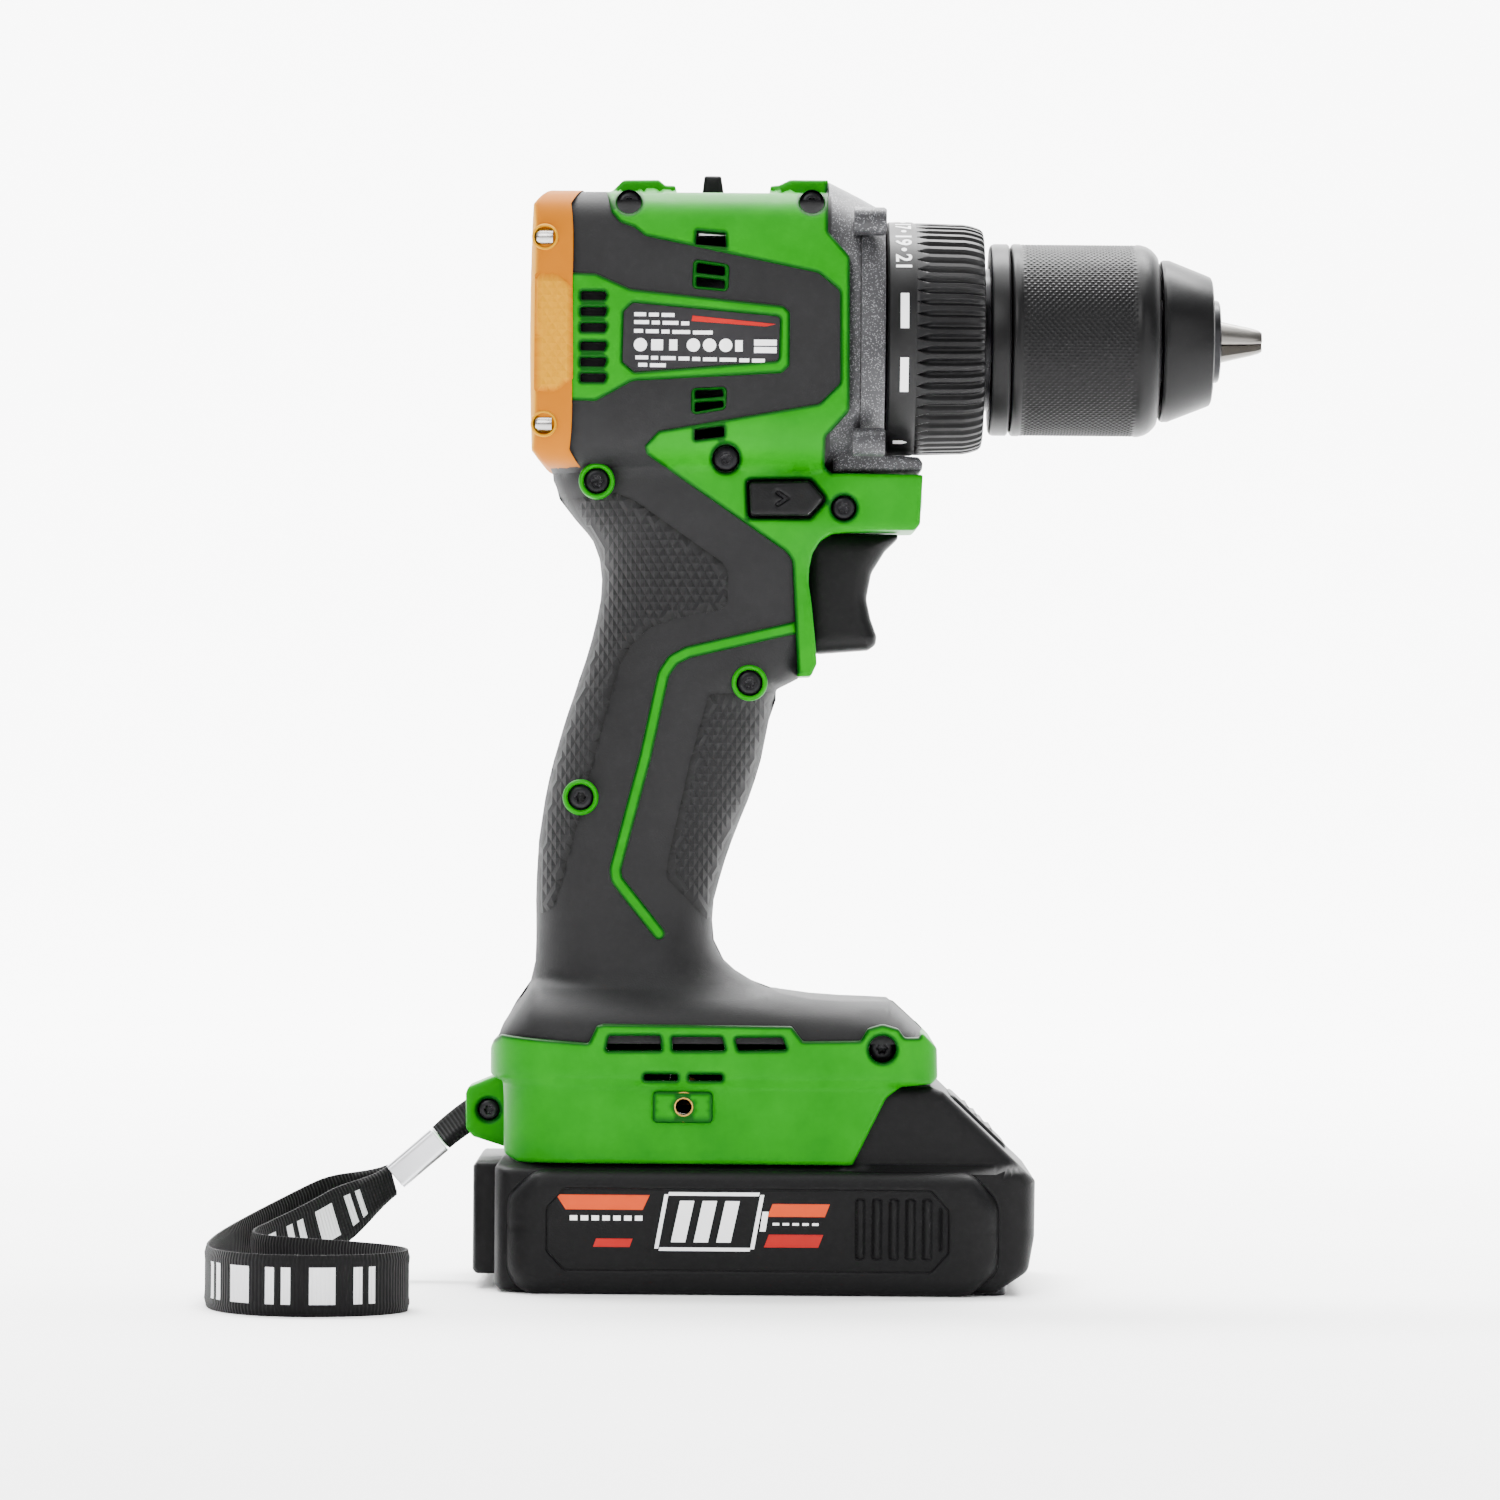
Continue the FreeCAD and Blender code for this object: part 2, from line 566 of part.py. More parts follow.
PLANETS = 3
PLATE_RADIUS = 14.6
STAGES = {
    # Each stage: where its planets start, how wide they are, and its sun and planet teeth.
    "first": (7.0, 5.5, "sun_one", "planet_one"),
    "second": (17.6, 5.0, "sun_two", "planet_two"),
}


def planet_places(stage):
    """The three planets of a stage: angle about the axis, and each planet's own phase."""
    sun, planet = (int(SIZES[name]) for name in STAGES[stage][2:])
    centre = SIZES["gear_module"] * (sun + planet) / 2
    places = []
    for index in range(PLANETS):
        angle = 2 * math.pi * index / PLANETS
        phase = angle - angle * SIZES["ring_teeth"] / planet
        places.append((angle, centre, phase))
    return places


def plate_with_pins(stage, thick):
    """Carrier plate of a stage, with a pin for each planet behind it."""
    plate = Part.makeCylinder(PLATE_RADIUS, thick)
    pin_length = STAGES[stage][1]
    for angle, centre, _ in planet_places(stage):
        spot = Vector(centre * math.cos(angle), centre * math.sin(angle), -pin_length)
        plate = plate.fuse(Part.makeCylinder(size("pin_radius"), pin_length, spot))
    return plate


def gears():
    """Two planetary stages inside one ring gear with 48 teeth."""
    sun_phase_one = math.pi * (SIZES["planet_one"] - 1) / SIZES["sun_one"]
    sun_phase_two = math.pi * (SIZES["planet_two"] - 1) / SIZES["sun_two"]
    ring_teeth = int(SIZES["ring_teeth"])
    cutter = involute_outline(ring_teeth, -SIZES["tooth_slack"], 1.0, SIZES["tooth_factor"], 0)
    ring_start, first_sun_start, first_plate_start, last_plate_start = 6.2, 6.9, 12.7, 22.8
    first_sun_width, first_plate, second_sun_width, last_plate = 5.5, 2.4, 7.2, 3.2
    through_bore, spindle_bore = 1.0, 5.0
    ring_width = size("ring_end") - ring_start
    ring = Part.makeCylinder(size("gear_bore"), ring_width)
    ring = ring.cut(cutter.extrude(Vector(0, 0, ring_width)))
    piece(gear_feature(ring, ring_start), "ring_gear")
    sun = external_gear(int(SIZES["sun_one"]), first_sun_width, size("shaft_radius - 0.5"),
                        sun_phase_one)
    piece(gear_feature(sun, first_sun_start), "sun_gear_first")
    for stage, (start, width, _, planet_name) in STAGES.items():
        bore = size("pin_radius + running_gap")
        for index, (angle, centre, phase) in enumerate(planet_places(stage), start=1):
            gear = external_gear(int(SIZES[planet_name]), width, bore, phase)
            piece(gear_feature(gear, start, centre * math.sin(angle), centre * math.cos(angle)),
                  f"planet_{stage}_{index}")
    sun_two = external_gear(int(SIZES["sun_two"]), second_sun_width, through_bore, sun_phase_two)
    sun_two.translate(Vector(0, 0, first_plate))
    carrier = plate_with_pins("first", first_plate).fuse(sun_two)
    piece(gear_feature(carrier, first_plate_start), "carrier_first")
    carrier = plate_with_pins("second", last_plate).cut(Part.makeCylinder(spindle_bore, last_plate))
    piece(gear_feature(carrier, last_plate_start), "output_carrier")


# --- Spindle and chuck ------------------------------------------------------------------------

def spindle():
    """Output spindle, its bearing, the chuck's retaining screw."""
    piece(turned([("22.9", "2.2"), ("63.5", "2.2"), ("63.5", "4.6"), ("49.5", "4.6"),
                  ("49.5", "6.9"), ("35.2", "6.9"), ("35.2", "6"), ("27.4", "6"),
                  ("27.4", "5"), ("22.9", "5")]), "output_spindle")
    piece(turned([("27.5", "6"), ("35.0", "6"), ("35.0", "12"), ("27.5", "12")]),
          "spindle_bearing")
    piece(turned([("54", "0"), ("65.5", "0"), ("65.5", "4"), ("63.5", "4"),
                  ("63.5", "2.2"), ("54", "2.2")]), "chuck_screw")


def jaw_frame(index):
    """Placement of a rod along one jaw's inclined axis, starting at the jaw's rear end."""
    around = Rotation(Vector(1, 0, 0), 120 * index + 60)
    tilt = math.radians(SIZES["jaw_tilt"])
    edge = SIZES["jaw_radius"] / math.cos(tilt)
    length = SIZES["jaw_length"]
    back = SIZES["jaw_tip"] - length * math.cos(tilt)
    offset = SIZES["jaw_tip_radius"] - edge + length * math.sin(tilt)
    lean = Rotation(Vector(0, 1, 0), 90 + SIZES["jaw_tilt"])
    spot = around.multVec(Vector(back, 0, offset))
    return FreeCAD.Placement(spot + Vector(0, 0, SIZES["head_axis"]), around.multiply(lean))


def inclined_rod(index, radius, before, after):
    """Rod on a jaw's axis, longer than the jaw by before and after."""
    thing = doc.addObject("Part::Cylinder", "JawRod")
    bind(thing, Radius=radius, Height=f"jaw_length + {before} + {after}")
    frame = jaw_frame(index)
    thing.Placement = frame.multiply(FreeCAD.Placement(Vector(0, 0, -before), Rotation()))
    return thing


def chuck():
    """Keyless chuck: body, rear ring, nose, nut, sleeve and three jaws."""
    solid = turned([("50", "4.6"), ("63.5", "4.6"), ("63.5", "chuck_bore"),
                    ("chuck_front", "chuck_bore"), ("chuck_front", "8.7"), ("94.5", "9.2"),
                    ("94.5", "11.5"), ("84.6", "14.6"), ("81.3", "14.6"), ("81.3", "8.6"),
                    ("73.8", "8.6"), ("73.8", "15"), ("53.3", "15"), ("50", "15")])
    bores = [inclined_rod(index, "jaw_radius + running_gap", 22, 8) for index in range(3)]
    piece(cut(solid, *bores), "chuck_body")
    piece(turned([("ring_back", "7.4"), ("50", "7.4"), ("50", "15"), ("ring_front", "15"),
                  ("ring_front", "sleeve_radius"), ("ring_back + 1", "sleeve_radius"),
                  ("ring_back", "sleeve_radius - 1")]), "chuck_rear_ring")
    nose = turned([("cone_back", "14.6"), ("94.5", "11.5"), ("94.5", "9.2"),
                   ("cone_front", "9.4"), ("cone_front", "cone_narrow - 0.8"),
                   ("cone_front - 1", "cone_narrow"), ("cone_back", "cone_wide")])
    piece(nose, "chuck_nose")
    slope = math.tan(math.radians(SIZES["jaw_tilt"]))
    inner_back = SIZES["jaw_tip_radius"] + (SIZES["jaw_tip"] - SIZES["nut_back"]) * slope + 0.12
    inner_front = SIZES["jaw_tip_radius"] + (SIZES["jaw_tip"] - SIZES["nut_front"]) * slope + 0.12
    piece(turned([("nut_back", f"{inner_back}"), ("nut_front", f"{inner_front}"),
                  ("nut_front", "sleeve_inner"), ("nut_back", "sleeve_inner")]), "chuck_nut")
    piece(turned([("sleeve_back", "sleeve_inner"), ("nut_front", "sleeve_inner"),
                  ("sleeve_front", "sleeve_inner - 1.6"),
                  ("sleeve_front", "sleeve_radius - 2.7"), ("82.9", "sleeve_radius - 1.2"),
                  ("81.3", "sleeve_radius - 0.3"), ("79.5", "sleeve_radius"),
                  ("sleeve_back", "sleeve_radius")]), "chuck_sleeve")
    for index in range(3):
        sector = doc.addObject("Part::Cylinder", "JawSector")
        bind(sector, Radius="30", Height="jaw_tip - 40", Angle="120")
        outward = Rotation(Vector(1, 0, 0), 120 * index + 60).multVec(Vector(0, 0, 0.05))
        # The sector opens 60 degrees to each side of the jaw's own direction.
        turn = Rotation(Vector(1, 0, 0), 120 * index + 60).multiply(
            Rotation(Vector(0, 1, 0), 90)).multiply(Rotation(Vector(0, 0, 1), 120))
        sector.Placement = FreeCAD.Placement(
            outward + Vector(40, 0, SIZES["head_axis"]), turn)
        piece(common(inclined_rod(index, "jaw_radius", 0, 3), sector), f"jaw_{index + 1}")


# --- Clutch -----------------------------------------------------------------------------------

def clutch():
    """Torque collar, the nut it turns, and the spring between nut and gear housing."""
    piece(turned([("collar_back", "collar_inner"), ("45", "collar_inner"), ("45", "11"),
                  ("collar_front", "11"), ("collar_front", "22.9"), ("46.6", "23.7"),
                  ("collar_back", "collar_radius")]), "torque_collar")
    nut = turned([("38.2", "tube_radius + running_gap"), ("42", "tube_radius + running_gap"),
                  ("42", "collar_inner - 0.2"), ("38.2", "collar_inner - 0.2")])
    piece(nut, "clutch_nut")
    coils = doc.addObject("Part::Feature", "ClutchSpring")
    helix = Part.makeHelix(2.2, 8.4, 17.6)
    wire = Part.Wire(Part.makeCircle(0.8, Vector(17.6, 0, 0), Vector(0, 1, 0)))
    coils.Shape = Part.Wire(helix.Edges).makePipeShell([wire], True, True)
    on_head_axis(coils, 28.6)
    piece(coils, "clutch_spring")


# --- Trigger and switches ---------------------------------------------------------------------

def controls():
    """Trigger and switch, direction lever and speed selector."""
    finger = rounded(side_pad(
        [("11.5", "131"), ("24.8", "131.2"), ("26.4", "133.4"), ("24.6", "140"),
         ("25.4", "147.5"), ("28", "152.5"), ("trigger_front", "155.2"), ("11.5", "155.2")],
        "trigger_half"), "2.5", lambda edge: edge.BoundBox.YLength < 0.01
        and edge.BoundBox.XMin > 23)
    stem = wide_block(("5.2", "12"), "3", ("140", "146"))
    piece(fuse(finger, stem), "trigger")
    case = cut(wide_block(("-26", "5"), "8.5", ("131.5", "155")),
               wide_block(("-2", "6"), "3.2", ("139.8", "146.2")))
    piece(case, "switch_module")
    spring = doc.addObject("Part::Feature", "TriggerSpring")
    helix = Part.makeHelix(1.3, 5.8, 2.2)
    wire = Part.Wire(Part.makeCircle(0.3, Vector(2.2, 0, 0), Vector(0, 1, 0)))
    spring.Shape = Part.Wire(helix.Edges).makePipeShell([wire], True, True)
    spring.Placement = FreeCAD.Placement(Vector(5.35, 0, 135.6), Rotation(Vector(0, 1, 0), 90))
    piece(spring, "trigger_spring")
    lever = rounded(side_pad(
        [("-0.6", "158.9"), ("12", "158.9"), ("14.8", "162.3"), ("12", "165.8"),
         ("-0.6", "165.8")], "lever_half"), "1", lambda edge: edge.BoundBox.YLength < 0.01)
    piece(lever, "direction_lever")
    plate = wide_block(("-13.5", "-2.4"), "6.6", ("head_top - 1.3", "head_top"))
    knob = rounded(wide_block(("-10.8", "-6.3"), "5", ("head_top - 0.4", "selector_top")), "0.8",
                   lambda edge: edge.BoundBox.ZMax > size("selector_top") - 0.1)
    post = wide_block(("-9.9", "-7.1"), "1.8", ("219.5", "head_top"))
    piece(fuse(plate, knob, post), "speed_selector")
    ring = turned([("7", "20.2"), ("10.4", "20.2"), ("10.4", "22"), ("7", "22")])
    arm = wide_block(("-10.4", "8"), "2.6", ("217.9", "219.3"))
    tabs = [wide_block(("-11.5", "-10.1"), "2.6", ("217.9", "220.8")),
            wide_block(("-6.9", "-5.6"), "2.6", ("217.9", "220.8"))]
    piece(fuse(ring, arm, *tabs), "shift_ring")


def electronics():
    """Control board, battery contacts and work light."""
    piece(wide_block(("-38", "24"), "24", ("44.4", "46.2")), "control_board")
    contacts = [block(("-40", "-20"), (f"{y} - 0.5", f"{y} + 0.5"), ("38.6", "42.4"))
                for y in (-10, -3.5, 3.5, 10)]
    piece(fuse(wide_block(("-43", "-16"), "13", ("41.6", "43.6")), *contacts),
          "terminal_block")
    piece(fuse(rod("X", "24", "nose_front - 1.2", "3.2", ("0", "163")),
               rod("X", "nose_front - 1.2", "nose_front - 0.2", "2.6", ("0", "163"))),
          "work_light")
    inserts = []
    for start, end in (("-33", "-26.5"), ("26.5", "33")):
        inserts.append(cut(rod("Y", start, end, "insert_bore + 1.4", ("-12.9", "38")),
                           rod("Y", start, end, "insert_bore", ("-12.9", "38"))))
    piece(group(*inserts), "belt_clip_inserts")
    plates = [block(("-26.4", "5.3"), (f"{side} * 27.25 - 0.25", f"{side} * 27.25 + 0.25"),
                    ("189.3", "200")) for side in (-1, 1)]
    piece(group(*plates), "side_plates")


# --- Battery ----------------------------------------------------------------------------------

# Battery screws: two behind the ends of the rear cell and two in the front corners.
PACK_SCREWS = [(-47.0, -34.2), (-47.0, 34.2), (54.0, -29.0), (54.0, 29.0)]


def pack_block(low, high, inset):
    """Battery form between two heights, drawn in by inset."""
    middle = wide_block((f"pack_back + ({inset})", f"pack_front - ({inset})"),
                        f"pack_half - ({inset})", (low, high))
    pods = wide_block((f"pack_back + ({inset})", f"pod_front - ({inset})"),
                      f"pod_half - ({inset})", (low, high))
    corner = f"pack_corner - ({inset})"
    return fuse(rounded(middle, corner, runs_along("Z")), rounded(pods, corner, runs_along("Z")))


def battery():
    """Slide-off battery: case in two parts, five cells, board, latch and screws."""
    tail_low = wide_block(("-56", "pack_back + 1"), "23", ("3", "pack_joint"))
    tail_high = wide_block(("-56", "pack_back + 1"), "23", ("pack_joint", "pack_top"))
    holes = [rod("Z", "-1", "pack_joint + 6", "1", (str(x), str(y))) for x, y in PACK_SCREWS]
    seats = [rod("Z", "-1", "2.4", "2.1", (str(x), str(y))) for x, y in PACK_SCREWS]
    posts_low = [rod("Z", "1", "pack_joint", "1.65", (str(x), str(y))) for x, y in PACK_SCREWS]
    posts_high = [rod("Z", "pack_joint", "pack_top - 1", "1.65", (str(x), str(y)))
                  for x, y in PACK_SCREWS]
    lower = cut(fuse(cut(fuse(pack_block("0", "pack_joint", "0"), tail_low),
                         pack_block("pack_floor", "pack_joint + 1", "pack_wall")), *posts_low),
                *holes, *seats)
    piece(lower, "battery_case_lower")
    wedge = side_pad([("22.2", "pack_top - 1"), ("28.9", "40"), ("31.9", "wedge_top"),
                      ("39.7", "wedge_top"), ("pack_front", "pack_top - 1")], "wedge_half")
    tower = wide_block(("-45.6", "30"), "tower_slot - slide_gap",
                       ("pack_top - 1", "tower_roof - slide_gap"))
    rails = wide_block(("-45.6", "30"), "rail_half - slide_gap",
                       ("rail_low + slide_gap", "rail_high - slide_gap"))
    room = wide_block(("-43.6", "20"), "18.5", ("pack_floor", "38.4"))
    slits = [block(("-44.6", "-17"), (f"{y} - 1.2", f"{y} + 1.2"), ("37", "50"))
             for y in (-10, -3.5, 3.5, 10)]
    mouth = [block(("-60", "-40"), (f"{y} - 1.2", f"{y} + 1.2"), ("37.6", "50"))
             for y in (-10, -3.5, 3.5, 10)]
    latch_room = side_pad([("36.6", "44"), ("41.2", "44"), ("57", "28.5"), ("50.5", "21.9"),
                           ("34.2", "38")], "12.3")
    upper = cut(fuse(cut(fuse(pack_block("pack_joint", "pack_top", "0"), tail_high, wedge,
                              tower, rails),
                         pack_block("pack_joint - 1", "pack_top - pack_wall", "pack_wall"),
                         room), *posts_high), *slits, *mouth, latch_room, *holes)
    piece(upper, "battery_case_upper")
    count = int(SIZES["cell_count"])
    cells = [rod("Y", "-cell_length / 2", "cell_length / 2", "cell_radius",
                 (f"({index} - {(count - 1) / 2}) * cell_pitch - 0.4",
                  "pack_floor + cell_radius")) for index in range(count)]
    piece(group(*cells), "battery_cells")
    board = wide_block(("-42", "16"), "17", ("27", "28.6"))
    clips = [block(("-42", "-17"), (f"{y} - {near}", f"{y} - {far}"), ("28.6", "36.8"))
             for y in (-10, -3.5, 3.5, 10) for near, far in ((1.6, 0.9), (-0.9, -1.6))]
    piece(fuse(board, *clips), "battery_board")
    latch = rounded(side_pad([("37.2", "wedge_top"), ("40.4", "wedge_top"), ("56", "28.2"),
                              ("53.2", "25.4"), ("38.2", "40.4")], "11.8"), "1.2",
                    lambda edge: edge.BoundBox.YLength < 0.01 and edge.BoundBox.XMax > 41)
    piece(latch, "battery_latch")
    screws = [fuse(rod("Z", "0.6", "2.4", "2.05", (str(x), str(y))),
                   rod("Z", "2.4", "pack_joint + 6", "0.95", (str(x), str(y))))
              for x, y in PACK_SCREWS]
    piece(group(*screws), "battery_screws")


# --- Wrist strap ------------------------------------------------------------------------------

# The free loop leaves the ferrule, turns left of the drill, stands on edge along the surface,
# turns back on itself twice and climbs to the ferrule again. Its middle line is 6 above the
# surface, half of the ribbon's width.
STRAP_ROUTE = [
    (-73.9, -2.2, 20.4), (-80.5, -9.0, 15.8), (-89.0, -17.5, 11.0), (-96.5, -25.5, 7.8),
    (-100.8, -34.0, 6.3), (-97.5, -42.0, 6.0), (-88.0, -48.5, 6.0), (-77.0, -56.5, 6.0),
    (-68.0, -66.0, 6.0), (-65.8, -77.5, 6.0), (-71.5, -86.5, 6.0), (-82.5, -91.0, 6.0),
    (-94.5, -89.5, 6.0), (-103.0, -81.5, 6.0), (-106.5, -69.5, 6.0), (-107.0, -55.5, 6.0),
    (-106.3, -41.5, 6.5), (-103.0, -28.0, 8.0), (-96.0, -16.0, 11.2), (-86.0, -5.5, 15.8),
    (-73.9, 2.2, 20.4)]
TETHER_ROUTE = [(-56.6, 0.0, 34.9), (-60.4, 0.0, 32.4), (-63.7, 0.0, 29.4)]


def route_wire(points):
    """Straight runs joined by tangent arcs, each arc as large as its two runs allow."""
    corners = [Vector(*point) for point in points]
    edges = []
    radii = []
    last = corners[0]
    for before, corner, after in zip(corners, corners[1:], corners[2:]):
        back = before - corner
        ahead = after - corner
        short = min(back.Length, ahead.Length)
        turn = math.pi - back.getAngle(ahead)
        radius = 0.45 * short / math.tan(turn / 2)
        back.normalize()
        ahead.normalize()
        first = corner + back * (0.45 * short)
        second = corner + ahead * (0.45 * short)
        inward = (back + ahead).normalize()
        middle = corner + inward * (radius / math.cos(turn / 2) - radius)
        edges.append(Part.LineSegment(last, first).toShape())
        edges.append(Part.Arc(first, middle, second).toShape())
        radii.append(radius)
        last = second
    edges.append(Part.LineSegment(last, corners[-1]).toShape())
    return Part.Wire(edges), radii


def strap_tube(label, points):
    """Round tube along a route, with the ribbon's own section area."""
    wire, radii = route_wire(points)
    radius = size("strap_tube")
    start = wire.Edges[0].firstVertex(True).Point
    direction = wire.Edges[0].tangentAt(wire.Edges[0].FirstParameter)
    ring = Part.Wire(Part.makeCircle(radius, start, direction))
    tube = wire.makePipeShell([ring], True, False)
    thing = doc.addObject("Part::Feature", "StrapTube")
    thing.Shape = tube
    piece(thing, label)
    whole = math.pi * radius ** 2 * wire.Length
    print(f"{label}: length {wire.Length:.1f}, volume {tube.Volume:.0f} of {whole:.0f}, "
          f"arc radii {[round(value, 1) for value in radii]}")


def ferrule():
    """Flattened metal sleeve that grips the strap's strands."""
    outer = rounded(block(("0", "12.1"), ("-3.4", "3.4"), ("-2.9", "2.9")), "1.2",
                    runs_along("X"))
    hole = rounded(block(("-1", "13.1"), ("-2.8", "2.8"), ("-2.3", "2.3")), "0.9",
                   runs_along("X"))
    thing = cut(outer, hole)
    doc.recompute()
    slope = math.degrees(math.atan2(7.9, 9.15))
    thing.Placement = FreeCAD.Placement(Vector(-63.9, 0, 29.1),
                                        Rotation(Vector(0, 1, 0), 180 - slope))
    return piece(thing, "strap_ferrule")


# --- Build and write --------------------------------------------------------------------------

housing()
rear_cap()
cap_screws()
housing_screws()
gear_housing()
gear_housing_screws()
motor()
gears()
spindle()
chuck()
clutch()
controls()
electronics()
battery()
strap_tube("wrist_strap", STRAP_ROUTE)
strap_tube("strap_tether", TETHER_ROUTE)
ferrule()

doc.recompute()
broken = [item.Name for item in doc.Objects if "Invalid" in item.State or "Error" in item.State]
if broken:
    raise RuntimeError(f"failed objects: {broken}")
os.makedirs("parts", exist_ok=True)
for item in pieces:
    shape = item.Shape
    if shape.isNull() or not shape.isValid() or not shape.Solids:
        raise RuntimeError(f"{item.Label} has no valid solid")
    print(f"{item.Label}: {len(shape.Solids)} solids, {shape.Volume:.1f} mm3")
    shape.exportStep(f"parts/{item.Label}.step")
print(len(pieces), "pieces")
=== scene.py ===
import json
import math

import bmesh
import bpy
import numpy as np
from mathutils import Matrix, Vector
from mathutils.geometry import delaunay_2d_cdt


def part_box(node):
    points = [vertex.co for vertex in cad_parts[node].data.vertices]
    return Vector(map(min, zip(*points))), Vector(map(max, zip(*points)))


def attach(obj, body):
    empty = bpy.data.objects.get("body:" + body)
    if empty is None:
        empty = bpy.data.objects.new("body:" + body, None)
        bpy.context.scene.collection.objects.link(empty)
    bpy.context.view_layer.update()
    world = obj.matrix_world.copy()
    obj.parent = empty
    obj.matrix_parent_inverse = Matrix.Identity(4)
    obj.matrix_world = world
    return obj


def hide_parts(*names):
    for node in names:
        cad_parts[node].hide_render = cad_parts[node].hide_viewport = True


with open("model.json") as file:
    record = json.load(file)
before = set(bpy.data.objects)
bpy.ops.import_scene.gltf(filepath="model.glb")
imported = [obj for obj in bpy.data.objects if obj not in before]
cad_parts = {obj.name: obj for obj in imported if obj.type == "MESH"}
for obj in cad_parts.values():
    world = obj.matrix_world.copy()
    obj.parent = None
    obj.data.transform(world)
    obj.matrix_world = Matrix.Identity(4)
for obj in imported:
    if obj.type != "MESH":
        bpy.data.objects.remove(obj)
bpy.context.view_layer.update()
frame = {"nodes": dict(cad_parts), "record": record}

MM = 0.001
RIGHT, LEFT = -1, 1

# Lengths below are in millimetres, in the drill's own frame: X to the nose, Z up, and the
# right-hand side at negative Y. The main ones come from the CAD nodes' boxes.


def span(node):
    """A node's lowest and highest corners in millimetres."""
    low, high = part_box(node)
    return [value / MM for value in low], [value / MM for value in high]


SLEEVE_LOW, SLEEVE_HIGH = span("chuck_sleeve")
AXIS_Z = (SLEEVE_LOW[2] + SLEEVE_HIGH[2]) / 2
SLEEVE_R = (SLEEVE_HIGH[2] - SLEEVE_LOW[2]) / 2
COLLAR_LOW, COLLAR_HIGH = span("torque_collar")
COLLAR_R = (COLLAR_HIGH[2] - COLLAR_LOW[2]) / 2
HEAD_HALF = 27.0
HEAD_MIDDLE = 196.8
HEAD_TALL = 28.8
HEAD_POWER = 5.5


# --- Paths in the side view -------------------------------------------------------------------

def rounded_path(corners, step=0.8, closed=True):
    """Polygon of (x, z) or (x, z, radius) corners, with arcs at the corners, evenly divided."""
    count = len(corners)
    points = []
    for i, corner in enumerate(corners):
        here = np.array(corner[:2], float)
        radius = corner[2] if len(corner) > 2 else 0.0
        inner = closed or 0 < i < count - 1
        if radius <= 0 or not inner:
            points.append(here)
            continue
        before = np.array(corners[i - 1][:2], float) - here
        after = np.array(corners[(i + 1) % count][:2], float) - here
        reach_before, reach_after = np.linalg.norm(before), np.linalg.norm(after)
        before, after = before / reach_before, after / reach_after
        half = math.acos(np.clip(before @ after, -1, 1)) / 2
        run = min(radius / math.tan(half), 0.48 * reach_before, 0.48 * reach_after)
        radius = run * math.tan(half)
        middle = here + (before + after) / np.linalg.norm(before + after) * radius / math.sin(half)
        start, end = here + before * run - middle, here + after * run - middle
        turn = math.atan2(start[0] * end[1] - start[1] * end[0], start @ end)
        pieces = max(2, int(abs(turn) * radius / step) + 2)
        for k in range(pieces + 1):
            angle = turn * k / pieces
            c, s = math.cos(angle), math.sin(angle)
            points.append(middle + np.array([c * start[0] - s * start[1],
                                             s * start[0] + c * start[1]]))
    return divided(points, step, closed)


def divided(points, step, closed=True):
    """Points added so that no edge is longer than step."""
    result = []
    count = len(points)
    for i in range(count if closed else count - 1):
        a, b = np.array(points[i]), np.array(points[(i + 1) % count])
        length = np.linalg.norm(b - a)
        if length < 1e-6:
            continue
        pieces = max(1, math.ceil(length / step))
        result += [a + (b - a) * k / pieces for k in range(pieces)]
    if not closed:
        result.append(np.array(points[-1]))
    return np.array(result)


def smooth_path(points, step=0.8):
    """Catmull-Rom curve through points."""
    knots = [np.array(point, float) for point in points]
    knots = [2 * knots[0] - knots[1], *knots, 2 * knots[-1] - knots[-2]]
    result = []
    for a, b, c, d in zip(knots, knots[1:], knots[2:], knots[3:]):
        pieces = max(2, int(np.linalg.norm(c - b) / step))
        for k in range(pieces):
            u = k / pieces
            result.append(0.5 * (2 * b + (c - a) * u + (2 * a - 5 * b + 4 * c - d) * u * u
                                 + (3 * b - a - 3 * c + d) * u ** 3))
    result.append(knots[-2])
    return [tuple(point) for point in result]


def distance(points, path, closed=True):
    """Distance from each point to a path."""
    ends = np.roll(path, -1, axis=0) if closed else path[1:]
    starts = path if closed else path[:-1]
    best = np.full(len(points), 1e9)
    for a, b in zip(starts, ends):
        edge = b - a
        u = np.clip(((points - a) @ edge) / max(edge @ edge, 1e-12), 0, 1)
        best = np.minimum(best, np.hypot(*(points - a - u[:, None] * edge).T))
    return best


def inside(points, path):
    """Whether each point lies within a closed path."""
    x, z = points[:, 0], points[:, 1]
    result = np.zeros(len(points), bool)
    for (ax, az), (bx, bz) in zip(path, np.roll(path, -1, axis=0)):
        crosses = (az > z) != (bz > z)
        at = ax + (z - az) / np.where(bz == az, 1e-12, bz - az) * (bx - ax)
        result ^= crosses & (x < at)
    return result


# --- The casing's side surface ----------------------------------------------------------------

GRIP_BACK = smooth_path([
    (-42.0, 172.0), (-40.7, 164.9), (-36.8, 158.3), (-32.6, 152.6), (-31.1, 145.8),
    (-32.1, 137.5), (-34.9, 127.0), (-38.4, 116.6), (-41.2, 106.0), (-43.3, 95.0),
    (-44.2, 84.0), (-44.3, 72.0), (-45.4, 62.0), (-48.4, 57.2), (-51.2, 51.5)], 1.0)
GRIP_FRONT = smooth_path([
    (12.5, 172.0), (12.5, 150.0), (12.0, 140.0), (11.6, 131.0), (9.9, 125.5), (5.3, 122.2),
    (3.1, 112.7), (0.2, 101.8), (-3.6, 91.8), (-6.6, 81.8), (-7.6, 75.1), (-6.9, 69.8),
    (-2.8, 64.8), (4.0, 61.3), (12.9, 59.4)], 1.0)


